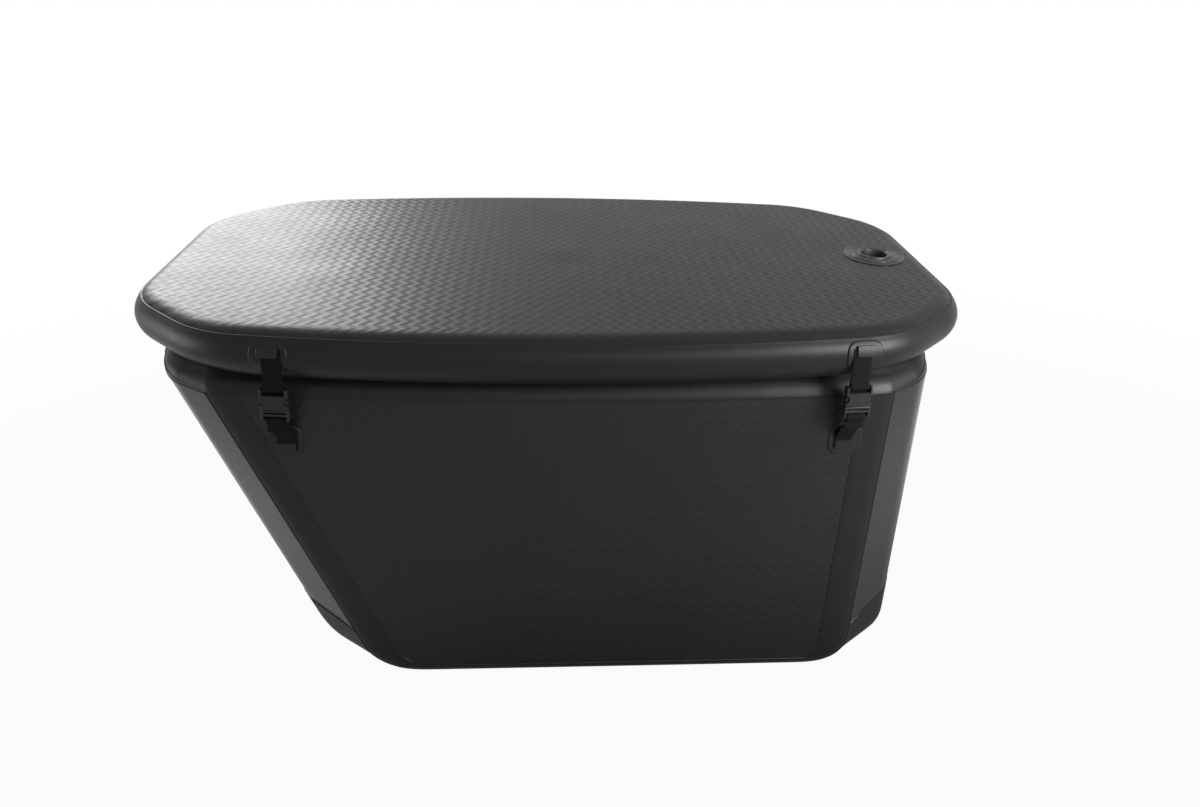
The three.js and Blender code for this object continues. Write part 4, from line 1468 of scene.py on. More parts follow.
@dataclass(frozen=True)
class LidForm(EightSided):
    """The outline of the lid's flat core, which its rounded edge goes round."""

    end: float = 0.7097
    reach: float = 0.3357
    bow: float = 0.044
    cut: Tuple[float, float] = (0.140, 0.130)
    ease: float = 0.060
    middle: float = 0.6903
    half: float = 0.040
    gap: float = 0.0003

    def eases(self, z: np.ndarray) -> np.ndarray:
        """How far the rounds reach into the start and the end of each side."""
        return np.full((len(z), SIDES, 2), self.ease)

    def sharp_corners(self, z: np.ndarray) -> np.ndarray:
        """The corners before rounding, one row for each height."""
        along, across = self.cut
        right, far = self.end - along, self.reach - across
        corners = (
            (-right, -self.reach), (right, -self.reach), (self.end, -far), (self.end, far),
            (right, self.reach), (-right, self.reach), (-self.end, far), (-self.end, -far),
        )
        return np.tile(np.array(corners), (len(z), 1, 1))

    def swell(self, z: np.ndarray) -> np.ndarray:
        """How far the middle of a long side bows out at each height."""
        return np.full_like(z, self.bow)

    def core(self, places: np.ndarray) -> Tuple[np.ndarray, np.ndarray]:
        """The core's outline and its outward directions.

        Args:
            places: Places round it.

        Returns:
            Flat points and flat unit vectors.
        """
        flat_z = np.zeros(len(places))
        points = self.around(places, flat_z, np.zeros((len(places), SIDES)))
        along = np.roll(points, -1, axis=0) - np.roll(points, 1, axis=0)
        along = along / np.linalg.norm(along, axis=1, keepdims=True)
        return points, np.stack((along[:, 1], -along[:, 0]), axis=1)

    def edge_at(self, x: float) -> Tuple[Vector, Vector]:
        """The core's front edge at x.

        Args:
            x: A place along the front.

        Returns:
            The point on the edge and its outward direction.
        """
        half = self.end - self.cut[0]
        share = x / half
        slope = 2 * self.bow * share / half
        return Vector((x, -self.reach - self.bow * (1 - share**2), 0.0)), Vector((slope, -1.0, 0.0)).normalized()


@dataclass
class Lid:
    """The inflated lid: a pressed panel, and the smooth band round its edge."""

    form: LidForm = LidForm()
    body: str = "lid"
    seam_angle: float = 38.0
    under_angle: float = 10.0
    band_proud: float = 0.0013
    skin_round: float = 0.0388
    overlap: float = 0.012
    fade: float = 0.014
    droop: float = 0.008
    droop_fade: float = 0.030
    dent: Tuple[float, float] = (0.02, -0.06)
    dent_depth: float = 0.0018
    dent_reach: float = 0.045

    def build(self) -> None:
        """Builds the lid's panel and band."""
        self.build_panel()
        self.build_band()

    def build_panel(self) -> None:
        """Builds the panel, whose skins turn over its edge and end under the band."""
        form = self.form
        seam = self.skin_round * math.radians(self.seam_angle)
        limit = seam + self.overlap
        outline, normals = form.core(ring_places(60, 10, 16))
        low = outline.min(axis=0) - limit
        high = outline.max(axis=0) + limit
        sheet = ZIGZAG.sheet(low, high, turned=True)
        distance = nearest_on(outline, normals, points_of(sheet)[:, :2])[0]
        beyond = [vert for vert, far in zip(sheet.verts, distance) if far > limit]
        bmesh.ops.delete(sheet, geom=beyond, context="VERTS")
        under = thicken(sheet)
        flat = points_of(sheet)
        distance, nearest, outward = nearest_on(outline, normals, flat[:, :2])
        angle = np.clip(distance, 0, None) / self.skin_round
        stand = ZIGZAG.rise(flat[:, 2]) * np.clip(1 - distance / self.fade, 0, 1)
        sag = self.dent_depth * np.exp(-((flat[:, :2] - self.dent) ** 2).sum(axis=1) / self.dent_reach**2)
        radius = self.skin_round + stand
        turned = nearest + outward * (radius * np.sin(angle))[:, None]
        inside = (distance <= 0)[:, None]
        plan = np.where(inside, flat[:, :2], turned)
        rise = form.half - self.skin_round + radius * np.cos(angle) - np.where(under, 0.0, sag)
        z = form.middle + np.where(under, -rise - self.sag_below(plan, angle, distance), rise)
        put_points(sheet, np.column_stack((plan, z)))
        mark_ridges(sheet, flat[:, 2])
        bmesh.ops.recalc_face_normals(sheet, faces=sheet.faces)
        sink_pocket(sheet, LID_VALVE)
        add_piece("fine_lid_panel", sheet, PANEL_SKIN, self.body, ["lid_panel"], 60.0)

    def sag_below(self, plan: np.ndarray, angle: np.ndarray, distance: np.ndarray) -> np.ndarray:
        """How far the lower half of the edge hangs down along the long sides.

        Args:
            plan: Flat points.
            angle: Their angles round the edge from straight down.
            distance: How far they lie outside the core.

        Returns:
            Depths, which fade into the flat underside, round the edge's middle and at the corners.
        """
        half = self.form.end - self.form.cut[0]
        along = np.clip((half - np.abs(plan[:, 0])) / 0.08, 0, 1) * (np.abs(plan[:, 1]) > self.form.reach / 2)
        inner = np.clip(1 + distance / self.droop_fade, 0, 1)
        return self.droop * np.clip(np.cos(angle), 0, 1) * along * inner * inner * (3 - 2 * inner)

    def build_band(self) -> None:
        """Builds the half-round band, whose two edges stand proud of the panel's skins."""
        form = self.form
        outline, outward = form.core(ring_places(72, 14, 18))
        radius = form.half + form.gap
        first, last = math.radians(self.seam_angle), math.pi - math.radians(self.under_angle)
        border = ((0.0, -1.0), (0.0010, 0.35), (0.0030, 0.7), (0.0055, 0.35), (0.0085, 0.0))
        steps = 32
        sections = [(first + out / radius, rise) for out, rise in border]
        lower = [(last - out / radius, rise) for out, rise in border[::-1]]
        start, end = sections[-1][0], lower[0][0]
        sections += [(start + (end - start) * step / steps, 0.0) for step in range(1, steps)]
        sections += lower
        loops = []
        for angle, rise in sections:
            reach = radius + rise * self.band_proud
            flat = outline + outward * (reach * math.sin(angle))
            level = form.middle + reach * math.cos(angle)
            sag = self.sag_below(flat, np.full(len(flat), math.pi - angle), np.zeros(len(flat)))
            loops.append(np.column_stack((flat, level - sag)))
        core = outline + outward * (radius * 0.3)
        for height in (-0.5, 0.5):
            loops.append(np.column_stack((core, np.full(len(core), form.middle + height * radius))))
        add_piece("fine_lid_edge_band", ring_form(loops), BAND_SKIN, self.body, ["lid_edge_band"], 60.0)


def nearest_on(outline: np.ndarray, normals: np.ndarray, points: np.ndarray) -> Tuple[np.ndarray, np.ndarray, np.ndarray]:
    """The nearest places on a closed outline.

    Args:
        outline: The outline's points.
        normals: Its outward directions.
        points: Flat points.

    Returns:
        How far each point lies outside the outline, the nearest place on it and the way out there.
    """
    ahead = np.roll(outline, -1, axis=0)
    run = ahead - outline
    size = (run**2).sum(axis=1)
    distance = np.empty(len(points))
    nearest = np.empty_like(points)
    outward = np.empty_like(points)
    for first in range(0, len(points), 4000):
        part = points[first : first + 4000]
        offset = part[:, None, :] - outline[None]
        share = np.clip((offset * run[None]).sum(axis=2) / size[None], 0, 1)
        gap = offset - share[..., None] * run[None]
        best = (gap**2).sum(axis=2).argmin(axis=1)
        rows = np.arange(len(part))
        share = share[rows, best][:, None]
        place = outline[best] + run[best] * share
        normal = normals[best] * (1 - share) + np.roll(normals, -1, axis=0)[best] * share
        normal = normal / np.linalg.norm(normal, axis=1, keepdims=True)
        away = part - place
        distance[first : first + 4000] = (away * normal).sum(axis=1)
        nearest[first : first + 4000] = place
        outward[first : first + 4000] = normal
    return distance, nearest, outward


# Valves and drain


def facing(direction: Vector, middle: Vector) -> Matrix:
    """A frame at a point whose +Z looks along a direction."""
    return Matrix.Translation(middle) @ direction.to_track_quat("Z", "Y").to_matrix().to_4x4()


@dataclass
class InflationValve:
    """A valve standing on a panel's face, with its plunger and return spring."""

    prefix: str
    body: str
    middle: Vector
    direction: Vector
    well: float = 0.026
    collar: float = 0.034
    flange: float = 0.047
    ring: float = 0.060
    barrel: float = 0.031
    depth: float = 0.030
    seat: float = 0.003
    stem: float = 0.0042
    stem_hole: float = 0.0048
    disc: float = 0.021
    disc_thickness: float = 0.0035
    button: float = 0.0095
    button_height: float = 0.004
    spring_height: float = 0.013
    spring_radius: float = 0.0069
    wire: float = 0.0006
    turns: int = 4
    air_holes: int = 4
    air_circle: float = 0.015
    air_radius: float = 0.004
    pocket_radius: float = 0.036
    pocket_depth: float = 0.052

    @property
    def frame(self) -> Matrix:
        """The valve's own frame, +Z out of the panel."""
        return facing(self.direction, self.middle)

    def build(self) -> None:
        """Builds the valve's pieces."""
        self.build_body()
        self.build_plunger()
        self.build_spring()

    def build_ring(self) -> None:
        """Builds the weld ring round the flange, with two pressed beads."""
        inside = self.flange + 0.0003
        profile = [(inside, 0.0002), (self.ring - 0.0002, 0.0002), (self.ring, 0.0012), (self.ring - 0.001, 0.0021)]
        profile += [(self.ring - 0.0026, 0.0021), (self.ring - 0.0036, 0.0012), (self.ring - 0.0056, 0.0012)]
        profile += [(self.ring - 0.0064, 0.0019), (self.ring - 0.0078, 0.0019), (self.ring - 0.0086, 0.0012)]
        profile += [(inside + 0.001, 0.0012), (inside, 0.0016)]
        form = moved(lathe(profile, steps=96), self.frame)
        name = f"{self.prefix}_ring"
        add_piece(f"fine_{name}", form, VALVE_PLASTIC, self.body, [name], 50.0)

    def build_body(self) -> None:
        """Builds the flanged body with its stepped rings and open well."""
        bottom = -self.depth - self.seat
        profile = [
            (self.stem_hole, bottom), (self.barrel, bottom), (self.barrel, 0.0004), (self.flange, 0.0004),
            (self.flange, 0.0026), (self.flange - 0.0016, 0.0042), (self.flange - 0.0034, 0.0042),
            (self.flange - 0.0042, 0.0030), (self.flange - 0.0066, 0.0030), (self.flange - 0.0074, 0.0040),
            (self.flange - 0.0094, 0.0040), (self.flange - 0.0102, 0.0030), (self.collar, 0.0030),
            (self.collar, 0.0056), (self.collar - 0.001, 0.0064), (self.collar - 0.0034, 0.0064),
            (self.collar - 0.0042, 0.0050), (self.well + 0.0018, 0.0050), (self.well, 0.0034),
            (self.well, -0.010), (self.well - 0.0012, -0.0108), (self.well - 0.0012, -0.0135),
            (self.well, -0.0145), (self.well, -self.depth), (self.stem_hole, -self.depth),
        ]
        blank = lathe(eased_profile(profile, 0.0004, 2))
        holes = []
        for number in range(self.air_holes):
            angle = TURN * number / self.air_holes
            place = Matrix.Translation((self.air_circle * math.cos(angle), self.air_circle * math.sin(angle), 0))
            holes.append(moved(drum(self.air_radius, bottom - 0.002, -self.depth + 0.002, 24), place))
        form = moved(carved(blank, holes), self.frame)
        name = f"{self.prefix}_body"
        add_piece(f"fine_{name}", form, VALVE_PLASTIC, self.body, [name], 40.0)

    def build_plunger(self) -> None:
        """Builds the plunger: a sealing disc below, a stem, and a dished button above."""
        disc_top = -self.depth - self.seat - 0.0003
        low = self.spring_height - self.depth
        high = low + self.button_height
        profile = [
            (0.0, disc_top - self.disc_thickness), (self.disc - 0.001, disc_top - self.disc_thickness),
            (self.disc, disc_top - self.disc_thickness + 0.001), (self.disc, disc_top),
            (self.stem, disc_top), (self.stem, low), (self.button, low), (self.button, high - 0.001),
            (self.button - 0.001, high), (self.button - 0.0032, high), (0.0, high - 0.0009),
        ]
        form = moved(lathe(profile, closed=False, steps=48), self.frame)
        name = f"{self.prefix}_plunger"
        add_piece(f"fine_{name}", form, VALVE_PLASTIC, name, [name], 40.0)

    def build_spring(self) -> None:
        """Builds the return spring as one coiled wire."""
        form = bmesh.new()
        bmesh.ops.create_circle(form, cap_ends=True, segments=8, radius=self.wire)
        bmesh.ops.rotate(form, cent=(0, 0, 0), matrix=Matrix.Rotation(math.pi / 2, 3, "X"), verts=form.verts)
        low = 0.0003 + self.wire - self.depth
        high = self.spring_height - self.depth - 0.0003 - self.wire
        bmesh.ops.translate(form, vec=(self.spring_radius, 0, low), verts=form.verts)
        steps = self.turns * 24
        bmesh.ops.spin(
            form, geom=form.verts[:] + form.edges[:] + form.faces[:], cent=(0, 0, 0), axis=(0, 0, 1),
            dvec=(0, 0, (high - low) / steps), angle=TURN * self.turns, steps=steps,
        )
        close_up(form)
        moved(form, self.frame)
        name = f"{self.prefix}_spring"
        ends = (self.frame @ Vector((0, 0, end)) for end in (low, high))
        squeeze = (f"{self.prefix}_plunger", *ends)
        add_piece(f"fine_{name}", form, SPRING_STEEL, self.body, [name], 40.0, squeeze)


@dataclass
class Drain:
    """The drain through the foot end: flanged pipe, inner nut, gasket and screw cap."""

    middle: Vector
    body: str = "tub"
    wall: float = 0.080
    bore: float = 0.015
    pipe_radius: float = 0.020
    flange: float = 0.036
    flange_thickness: float = 0.006
    spigot: float = 0.028
    nut: float = 0.033
    nut_thickness: float = 0.009
    stand: float = 0.003
    gasket: float = 0.002
    cap_wall: float = 0.0045
    cap_top: float = 0.004
    skirt: float = 0.020
    gap: float = 0.0003
    grips: int = 24
    lugs: int = 6

    @property
    def frame(self) -> Matrix:
        """The drain's own frame, +Z out of the wall."""
        return facing(Vector((1, 0, 0)), self.middle)

    def build(self) -> None:
        """Builds the drain's pieces."""
        self.build_flange()
        self.build_nut()
        self.build_gasket()
        self.build_cap()

    def build_flange(self) -> None:
        """Builds the flanged pipe, with a stepped flange."""
        inner = -self.wall - self.gap - self.nut_thickness - self.stand
        profile = [
            (self.bore, inner), (self.pipe_radius, inner), (self.pipe_radius, 0.0004), (self.flange, 0.0004),
            (self.flange, 0.004), (self.flange - 0.002, 0.006), (self.flange - 0.006, 0.006),
            (self.flange - 0.007, 0.0048), (self.flange - 0.010, 0.0048), (self.flange - 0.0108, 0.006),
            (self.pipe_radius, 0.006), (self.pipe_radius, self.spigot), (self.bore, self.spigot),
        ]
        form = moved(lathe(eased_profile(profile, 0.0005, 2)), self.frame)
        add_piece("fine_drain_flange", form, VALVE_PLASTIC, self.body, ["drain_flange"], 40.0)

    def build_nut(self) -> None:
        """Builds the inner nut, with lugs to turn it by."""
        low = -self.wall - self.gap - self.nut_thickness
        inside = self.pipe_radius + self.gap
        rim = self.nut - 0.004
        blank = lathe(eased_profile([(inside, low), (rim, low), (rim, low + self.nut_thickness), (inside, low + self.nut_thickness)], 0.0008))
        parts = [blank]
        for number in range(self.lugs):
            lug = block((rim - 0.002, -0.005, low + 0.001), (self.nut, 0.005, low + self.nut_thickness), 0.0012)
            parts.append(moved(lug, Matrix.Rotation(TURN * number / self.lugs, 4, "Z")))
        form = moved(joined(parts), self.frame)
        add_piece("fine_drain_nut", form, VALVE_PLASTIC, self.body, ["drain_nut"], 40.0)

    def build_gasket(self) -> None:
        """Builds the sealing ring inside the cap."""
        low = self.spigot + self.gap
        corners = [(self.bore, low), (self.pipe_radius, low), (self.pipe_radius, low + self.gasket), (self.bore, low + self.gasket)]
        form = moved(lathe(eased_profile(corners, 0.0006)), self.frame)
        add_piece("fine_drain_gasket", form, SEAL_RUBBER, "drain_gasket", ["drain_gasket"], 40.0)

    def build_cap(self) -> None:
        """Builds the screw cap, with grip ribs round its skirt and a raised bar across its top."""
        inside = self.pipe_radius + self.gap
        outside = inside + self.cap_wall
        floor = self.spigot + self.gasket + 2 * self.gap
        top = floor + self.cap_top
        low = floor - self.skirt
        profile = [
            (0.0, floor), (inside, floor), (inside, low), (outside - 0.0012, low), (outside - 0.0012, top - 0.0016),
            (outside - 0.0028, top), (outside - 0.007, top), (outside - 0.008, top - 0.0012), (0.0, top - 0.0012),
        ]
        parts = [lathe(profile, closed=False)]
        for number in range(self.grips):
            rib = block((outside - 0.002, -0.0011, low + 0.0012), (outside, 0.0011, top - 0.0018), 0.0006)
            parts.append(moved(rib, Matrix.Rotation(TURN * number / self.grips, 4, "Z")))
        bar = outside - 0.0095
        parts.append(block((-bar, -0.0032, top - 0.002), (bar, 0.0032, top), 0.0009))
        form = moved(joined(parts), self.frame)
        add_piece("fine_drain_cap", form, VALVE_PLASTIC, "drain_cap", ["drain_cap"], 40.0)


def middle_of(node: str) -> Vector:
    """The middle of a frame node's box."""
    low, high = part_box(node)
    return (low + high) / 2


def on_face(node: str, x: Optional[float] = None, z: Optional[float] = None) -> Vector:
    """A frame node's middle, moved onto a face at x or at z."""
    middle = middle_of(node)
    return Vector((middle.x if x is None else x, middle.y, middle.z if z is None else z))


LID_FORM = LidForm()
WALL_FORM = WallForm()
LID_VALVE = InflationValve(
    "lid_valve", "lid", on_face("lid_valve_body", z=LID_FORM.middle + LID_FORM.half), Vector((0, 0, 1)),
)
WALL_VALVE = InflationValve("wall_valve", "tub", on_face("wall_valve_body", x=WALL_FORM.foot), Vector((1, 0, 0)))
DRAIN = Drain(on_face("drain_flange", x=WALL_FORM.foot))


# Straps


@dataclass
class Strap:
    """One hold-down strap: two welded patches, two webbings and a side-release buckle."""

    name: str
    at_back: bool
    width: float = 0.032
    web: float = 0.002
    patch: float = 0.0016
    patch_seat: float = 0.0005
    lid_patch_width: float = 0.064
    lid_patch_angles: Tuple[float, float] = (50.0, 126.0)
    lid_tab_angles: Tuple[float, float] = (63.0, 88.0)
    lid_web_angle: float = 70.0
    wall_patch_size: Tuple[float, float] = (0.060, 0.062)
    tab_width: float = 0.0345
    tab: float = 0.0008
    wall_tab: Tuple[float, float] = (-0.019, -0.001)
    buckle_width: float = 0.046
    buckle_thickness: float = 0.013
    socket_height: float = 0.036
    cavity: Tuple[float, float, float] = (0.040, 0.008, 0.024)
    notch_radius: float = 0.0072
    notch_height: float = 0.0142
    slot_half: float = 0.0190
    bar_height: float = 0.004
    bar_thickness: float = 0.005
    slot_height: float = 0.0065
    tongue_height: float = 0.022
    tongue_thickness: float = 0.011
    ladder_slot: float = 0.003
    gap: float = 0.0003

    def __post_init__(self) -> None:
        """Takes the strap's place from the frame."""
        middle = middle_of(f"{self.name}_wall_patch").z
        self.wall_patch_middle = middle
        self.wall_tab_heights = (middle + self.wall_tab[0], middle + self.wall_tab[1])
        low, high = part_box(f"{self.name}_buckle_socket")
        self.origin = Vector(((low.x + high.x) / 2, (low.y + high.y) / 2, low.z))
        joint = next(j for j in frame["joints"] if j["name"] == f"{self.name}_squeeze_left")
        across = Vector(joint["axis"]).normalized()
        inward = Vector((0, 0, 1)).cross(across)
        if self.at_back:
            inward = -inward
        self.frame = Matrix((across, inward, Vector((0, 0, 1)))).transposed().to_4x4()
        self.frame.translation = self.origin
        self.mirror = Matrix.Scale(-1, 4, (0, 1, 0)) if self.at_back else Matrix.Identity(4)

    def build(self) -> None:
        """Builds the strap's pieces."""
        self.build_lid_patch()
        self.build_wall_patch()
        self.build_upper_webbing()
        self.build_lower_webbing()
        self.build_socket()
        self.build_tongue()
        for side, word in ((-1, "left"), (1, "right")):
            self.build_prong(side, word)

    def add(self, part: str, form: bmesh.types.BMesh, finish: Finish, body: str, crease: float = 40.0) -> bpy.types.Object:
        """Adds one of the strap's pieces under its node's name."""
        node = f"{self.name}_{part}"
        return add_piece(f"fine_{node}", form, finish, body, [node], crease)

    def rounded_patch(self, roundness: float, top: float, under: float, place: Placing) -> bmesh.types.BMesh:
        """A patch with a rounded outline and a soft edge.

        Args:
            roundness: The outline's power: 2 is an ellipse, more is squarer.
            top: How far its face stands out.
            under: How far its underside stands out.
            place: Gives points from shares across and up, from -1 to 1, and heights.

        Returns:
            The patch.
        """
        steps = 24
        grid = numbered_grid(steps, steps)
        beneath = thicken(grid)
        numbers = points_of(grid)[:, :2] / steps * 2 - 1
        numbers = np.sign(numbers) * np.sin(np.abs(numbers) * math.pi / 2)
        rim = np.abs(numbers).max(axis=1)
        power = (np.abs(numbers) ** roundness).sum(axis=1) ** (1 / roundness)
        numbers = numbers * (rim / np.where(power == 0, 1, power))[:, None]
        soft = np.interp(rim, (0.0, 0.955, 0.985, 1.0), (1.0, 1.0, 0.75, 0.3))
        out = np.where(beneath, under, under + (top - under) * soft)
        put_points(grid, place(numbers[:, 0], numbers[:, 1], out))
        bmesh.ops.recalc_face_normals(grid, faces=grid.faces)
        return grid

    def on_lid(self, width: float, angles: Tuple[float, float]) -> Placing:
        """Lays shares across and up on the lid's rounded edge.

        Args:
            width: The patch's width.
            angles: Where it ends above and below, in degrees from straight up.

        Returns:
            The placing.
        """
        edge, outward = LID_FORM.edge_at(self.origin.x)
        along = Vector((-outward.y, outward.x, 0.0))

        def place(across: np.ndarray, up: np.ndarray, out: np.ndarray) -> np.ndarray:
            """Points on the lid's edge."""
            angle = np.radians(angles[1] + (angles[0] - angles[1]) * (up + 1) / 2)
            radius = LID_FORM.half + LID_FORM.gap + out
            reach = radius * np.sin(angle)
            x = edge.x + along.x * across * width / 2 + outward.x * reach
            y = edge.y + along.y * across * width / 2 + outward.y * reach
            return np.column_stack((x, y, LID_FORM.middle + radius * np.cos(angle)))

        return place

    def on_wall(self, width: float, low: float, high: float) -> Placing:
        """Lays shares across and up on the front wall.

        Args:
            width: The patch's width.
            low: Its lowest height.
            high: Its highest height.

        Returns:
            The placing.
        """
        def place(across: np.ndarray, up: np.ndarray, out: np.ndarray) -> np.ndarray:
            """Points on the wall's face."""
            z = low + (high - low) * (up + 1) / 2
            return WALL_FORM.face(Side.FRONT, self.origin.x + across * width / 2, z, out)

        return place

    def build_lid_patch(self) -> None:
        """Builds the patch on the lid's edge, with the tab over the webbing's end."""
        base = self.rounded_patch(3.2, self.patch_seat + self.patch, -0.0005, self.on_lid(self.lid_patch_width, self.lid_patch_angles))
        lift = self.patch_seat + self.patch + self.web + self.gap
        tab = self.rounded_patch(9.0, lift + self.tab + 0.0012, self.patch_seat, self.on_lid(self.tab_width, self.lid_tab_angles))
        self.add("lid_patch", moved(joined((base, tab)), self.mirror), PATCH_SKIN, "lid")

    def build_wall_patch(self) -> None:
        """Builds the patch on the wall, with the tab over the webbing's end and its weld line."""
        width, height = self.wall_patch_size
        low = self.wall_patch_middle - height / 2
        base = self.rounded_patch(3.0, self.patch_seat + self.patch, -0.0005, self.on_wall(width, low, low + height))
        lift = self.patch_seat + self.patch + self.web + self.gap
        tab = self.rounded_patch(9.0, lift + self.tab + 0.0006, self.patch_seat, self.on_wall(self.tab_width, *self.wall_tab_heights))
        self.add("wall_patch", moved(joined((base, tab)), self.mirror), PATCH_SKIN, "tub")

    def webbing(self, part: str, path: Sequence[Tuple[float, float]], body: str) -> None:
        """Builds a webbing along a path in the strap's own frame.

        Args:
            part: The piece's part name.
            path: [y, z] points.
            body: The body that it rides.
        """
        columns = 8
        line = np.array(path)
        rows = len(line) - 1
        along = np.gradient(line, axis=0)
        along = along / np.linalg.norm(along, axis=1, keepdims=True)
        normal = np.stack((along[:, 1], -along[:, 0]), axis=1)
        length = np.concatenate(((0.0,), np.cumsum(np.linalg.norm(np.diff(line, axis=0), axis=1))))
        grid = numbered_grid(columns, rows)
        under = thicken(grid)
        numbers = points_of(grid).astype(int)
        across = np.interp(numbers[:, 0], (0, 1, columns - 1, columns), (-1.0, -0.9, 0.9, 1.0)) * self.width / 2
        thin = np.interp(numbers[:, 0], (0, 1, columns - 1, columns), (0.55, 1.0, 1.0, 0.55))
        half = np.where(under, -self.web / 2, self.web / 2) * thin
        flat = line[numbers[:, 1]] + normal[numbers[:, 1]] * half[:, None]
        put_points(grid, np.column_stack((across, flat)))
        strand = {vert: (float(u), float(v)) for vert, u, v in zip(grid.verts, across, length[numbers[:, 1]])}
        layer = grid.loops.layers.uv.new("strand")
        for face in grid.faces:
            for loop in face.loops:
                loop[layer].uv = strand[loop.vert]
        bmesh.ops.recalc_face_normals(grid, faces=grid.faces)
        self.add(part, moved(grid, self.frame), STRAP_WEB, body, 50.0)

    def eye(self, bar: float, upwards: bool) -> List[Tuple[float, float]]:
        """The webbing's way round a buckle's bar and back along itself.

        Args:
            bar: The bar's height.
            upwards: Whether the webbing comes from above.

        Returns:
            [y, z] points, from the run to the folded end.
        """
        turn = 1 if upwards else -1
        radius = self.bar_thickness / 2 + self.web / 2 + self.gap
        points = []
        for step in range(13):
            angle = math.pi * step / 12
            points.append((-radius * math.cos(angle), bar - turn * radius * math.sin(angle)))
        points.append((radius * 0.97, bar + turn * 0.004))
        points.append((radius * 0.80, bar + turn * 0.008))
        points.append((self.web * 0.75, bar + turn * 0.013))
        points.append((self.web * 0.60, bar + turn * 0.018))
        points.append((self.web * 0.60, bar + turn * 0.024))
        return points

    def build_upper_webbing(self) -> None:
        """Builds the webbing from the lid's patch down to the socket's bar."""
        edge, outward = LID_FORM.edge_at(self.origin.x)
        radius = LID_FORM.half + LID_FORM.gap + self.patch_seat + self.patch + self.gap + self.web / 2
        front = self.mirror @ self.origin
        centre = (edge - Vector((front.x, front.y, 0.0))).dot(-outward)
        path = []
        for step in range(9):
            angle = math.radians(self.lid_web_angle + (90 - self.lid_web_angle) * step / 8)
            path.append((centre - radius * math.sin(angle), LID_FORM.middle - self.origin.z + radius * math.cos(angle)))
        bar = self.socket_height - self.bar_height / 2
        eye = self.eye(bar, True)
        last = path[-1]
        joinery = [(eye[0][0] * 0.4, bar + 0.012), (eye[0][0] * 0.85, bar + 0.005)]
        for step in range(1, 12):
            share = step / 12
            path.append((last[0] * (1 - share), last[1] + (bar + 0.020 - last[1]) * share))
        path.append((0.0, bar + 0.020))
        self.webbing("upper_webbing", [*path, *joinery, *eye], "lid")

    def build_lower_webbing(self) -> None:
        """Builds the webbing from the tongue's bar down to the wall's patch."""
        low, high = self.wall_tab_heights
        stand = np.array((self.patch_seat + self.patch + self.gap + self.web / 2,))

        def seat(z: float) -> Tuple[float, float]:
            """The webbing's place on the wall's patch at a height."""
            point = WALL_FORM.face(Side.FRONT, np.array((self.origin.x,)), np.array((z,)), stand)[0]
            local = self.frame.inverted() @ (self.mirror @ Vector(point))
            return local.y, local.z

        bar = -self.gap - self.tongue_height + self.bar_height / 2
        eye = self.eye(bar, False)
        bend, end = seat(high + 0.006), seat(low + 0.004)
        path = [end, seat(high), seat(high + 0.003), bend]
        first = (eye[0][0] * 0.9, bar - 0.006)
        for step in range(1, 14):
            share = step / 14
            path.append((bend[0] + (first[0] - bend[0]) * share, bend[1] + (first[1] - bend[1]) * share))
        self.webbing("lower_webbing", [*path, first, *eye], "tub")

    def bar_reliefs(self, low: float, high: float) -> List[bmesh.types.BMesh]:
        """Cuts that slim both faces of a buckle half to a bar."""
        near, far, half = self.bar_thickness / 2, self.buckle_thickness, self.slot_half
        return [block((-half, near, low), (half, far, high)), block((-half, -far, low), (half, -near, high))]

    def build_socket(self) -> None:
        """Builds the buckle's socket, with its round side notches and the bar for the upper webbing."""
        half, deep = self.buckle_width / 2, self.buckle_thickness / 2
        blank = block((-half, -deep, 0), (half, deep, self.socket_height), 0.0022)
        width, thickness, depth = self.cavity
        tools = [block((-width / 2, -thickness / 2, -0.002), (width / 2, thickness / 2, depth))]
        for side in (-1, 1):
            turned = Matrix.Translation((side * (half + 0.0008), 0, self.notch_height)) @ Matrix.Rotation(math.pi / 2, 4, "X")
            tools.append(moved(drum(self.notch_radius, -0.02, 0.02), turned))
        low = self.socket_height - self.bar_height - self.slot_height
        tools.append(block((-self.slot_half, -0.02, low), (self.slot_half, 0.02, low + self.slot_height)))
        tools.extend(self.bar_reliefs(low, self.socket_height + 0.004))
        self.add_buckle("buckle_socket", carved(blank, tools), "lid")

    def build_tongue(self) -> None:
        """Builds the buckle's tongue: the ladder for the lower webbing and the middle guide."""
        half, deep = self.buckle_width / 2, self.tongue_thickness / 2
        low = -self.gap - self.tongue_height
        blank = block((-half, -deep, low), (half, deep, -self.gap), 0.002)
        slot = low + self.bar_height
        ladder = slot + self.slot_height + self.bar_height
        tools = [
            block((-self.slot_half, -0.02, slot), (self.slot_half, 0.02, slot + self.slot_height)),
            block((-self.slot_half, -0.02, ladder), (self.slot_half, 0.02, ladder + self.ladder_slot)),
            *self.bar_reliefs(low - 0.004, slot + self.slot_height),
        ]
        guide = block((-0.004, -0.003, -0.001), (0.004, 0.003, 0.021), 0.0008)
        self.add_buckle("buckle_tongue", joined((carved(blank, tools), guide)), "tub")

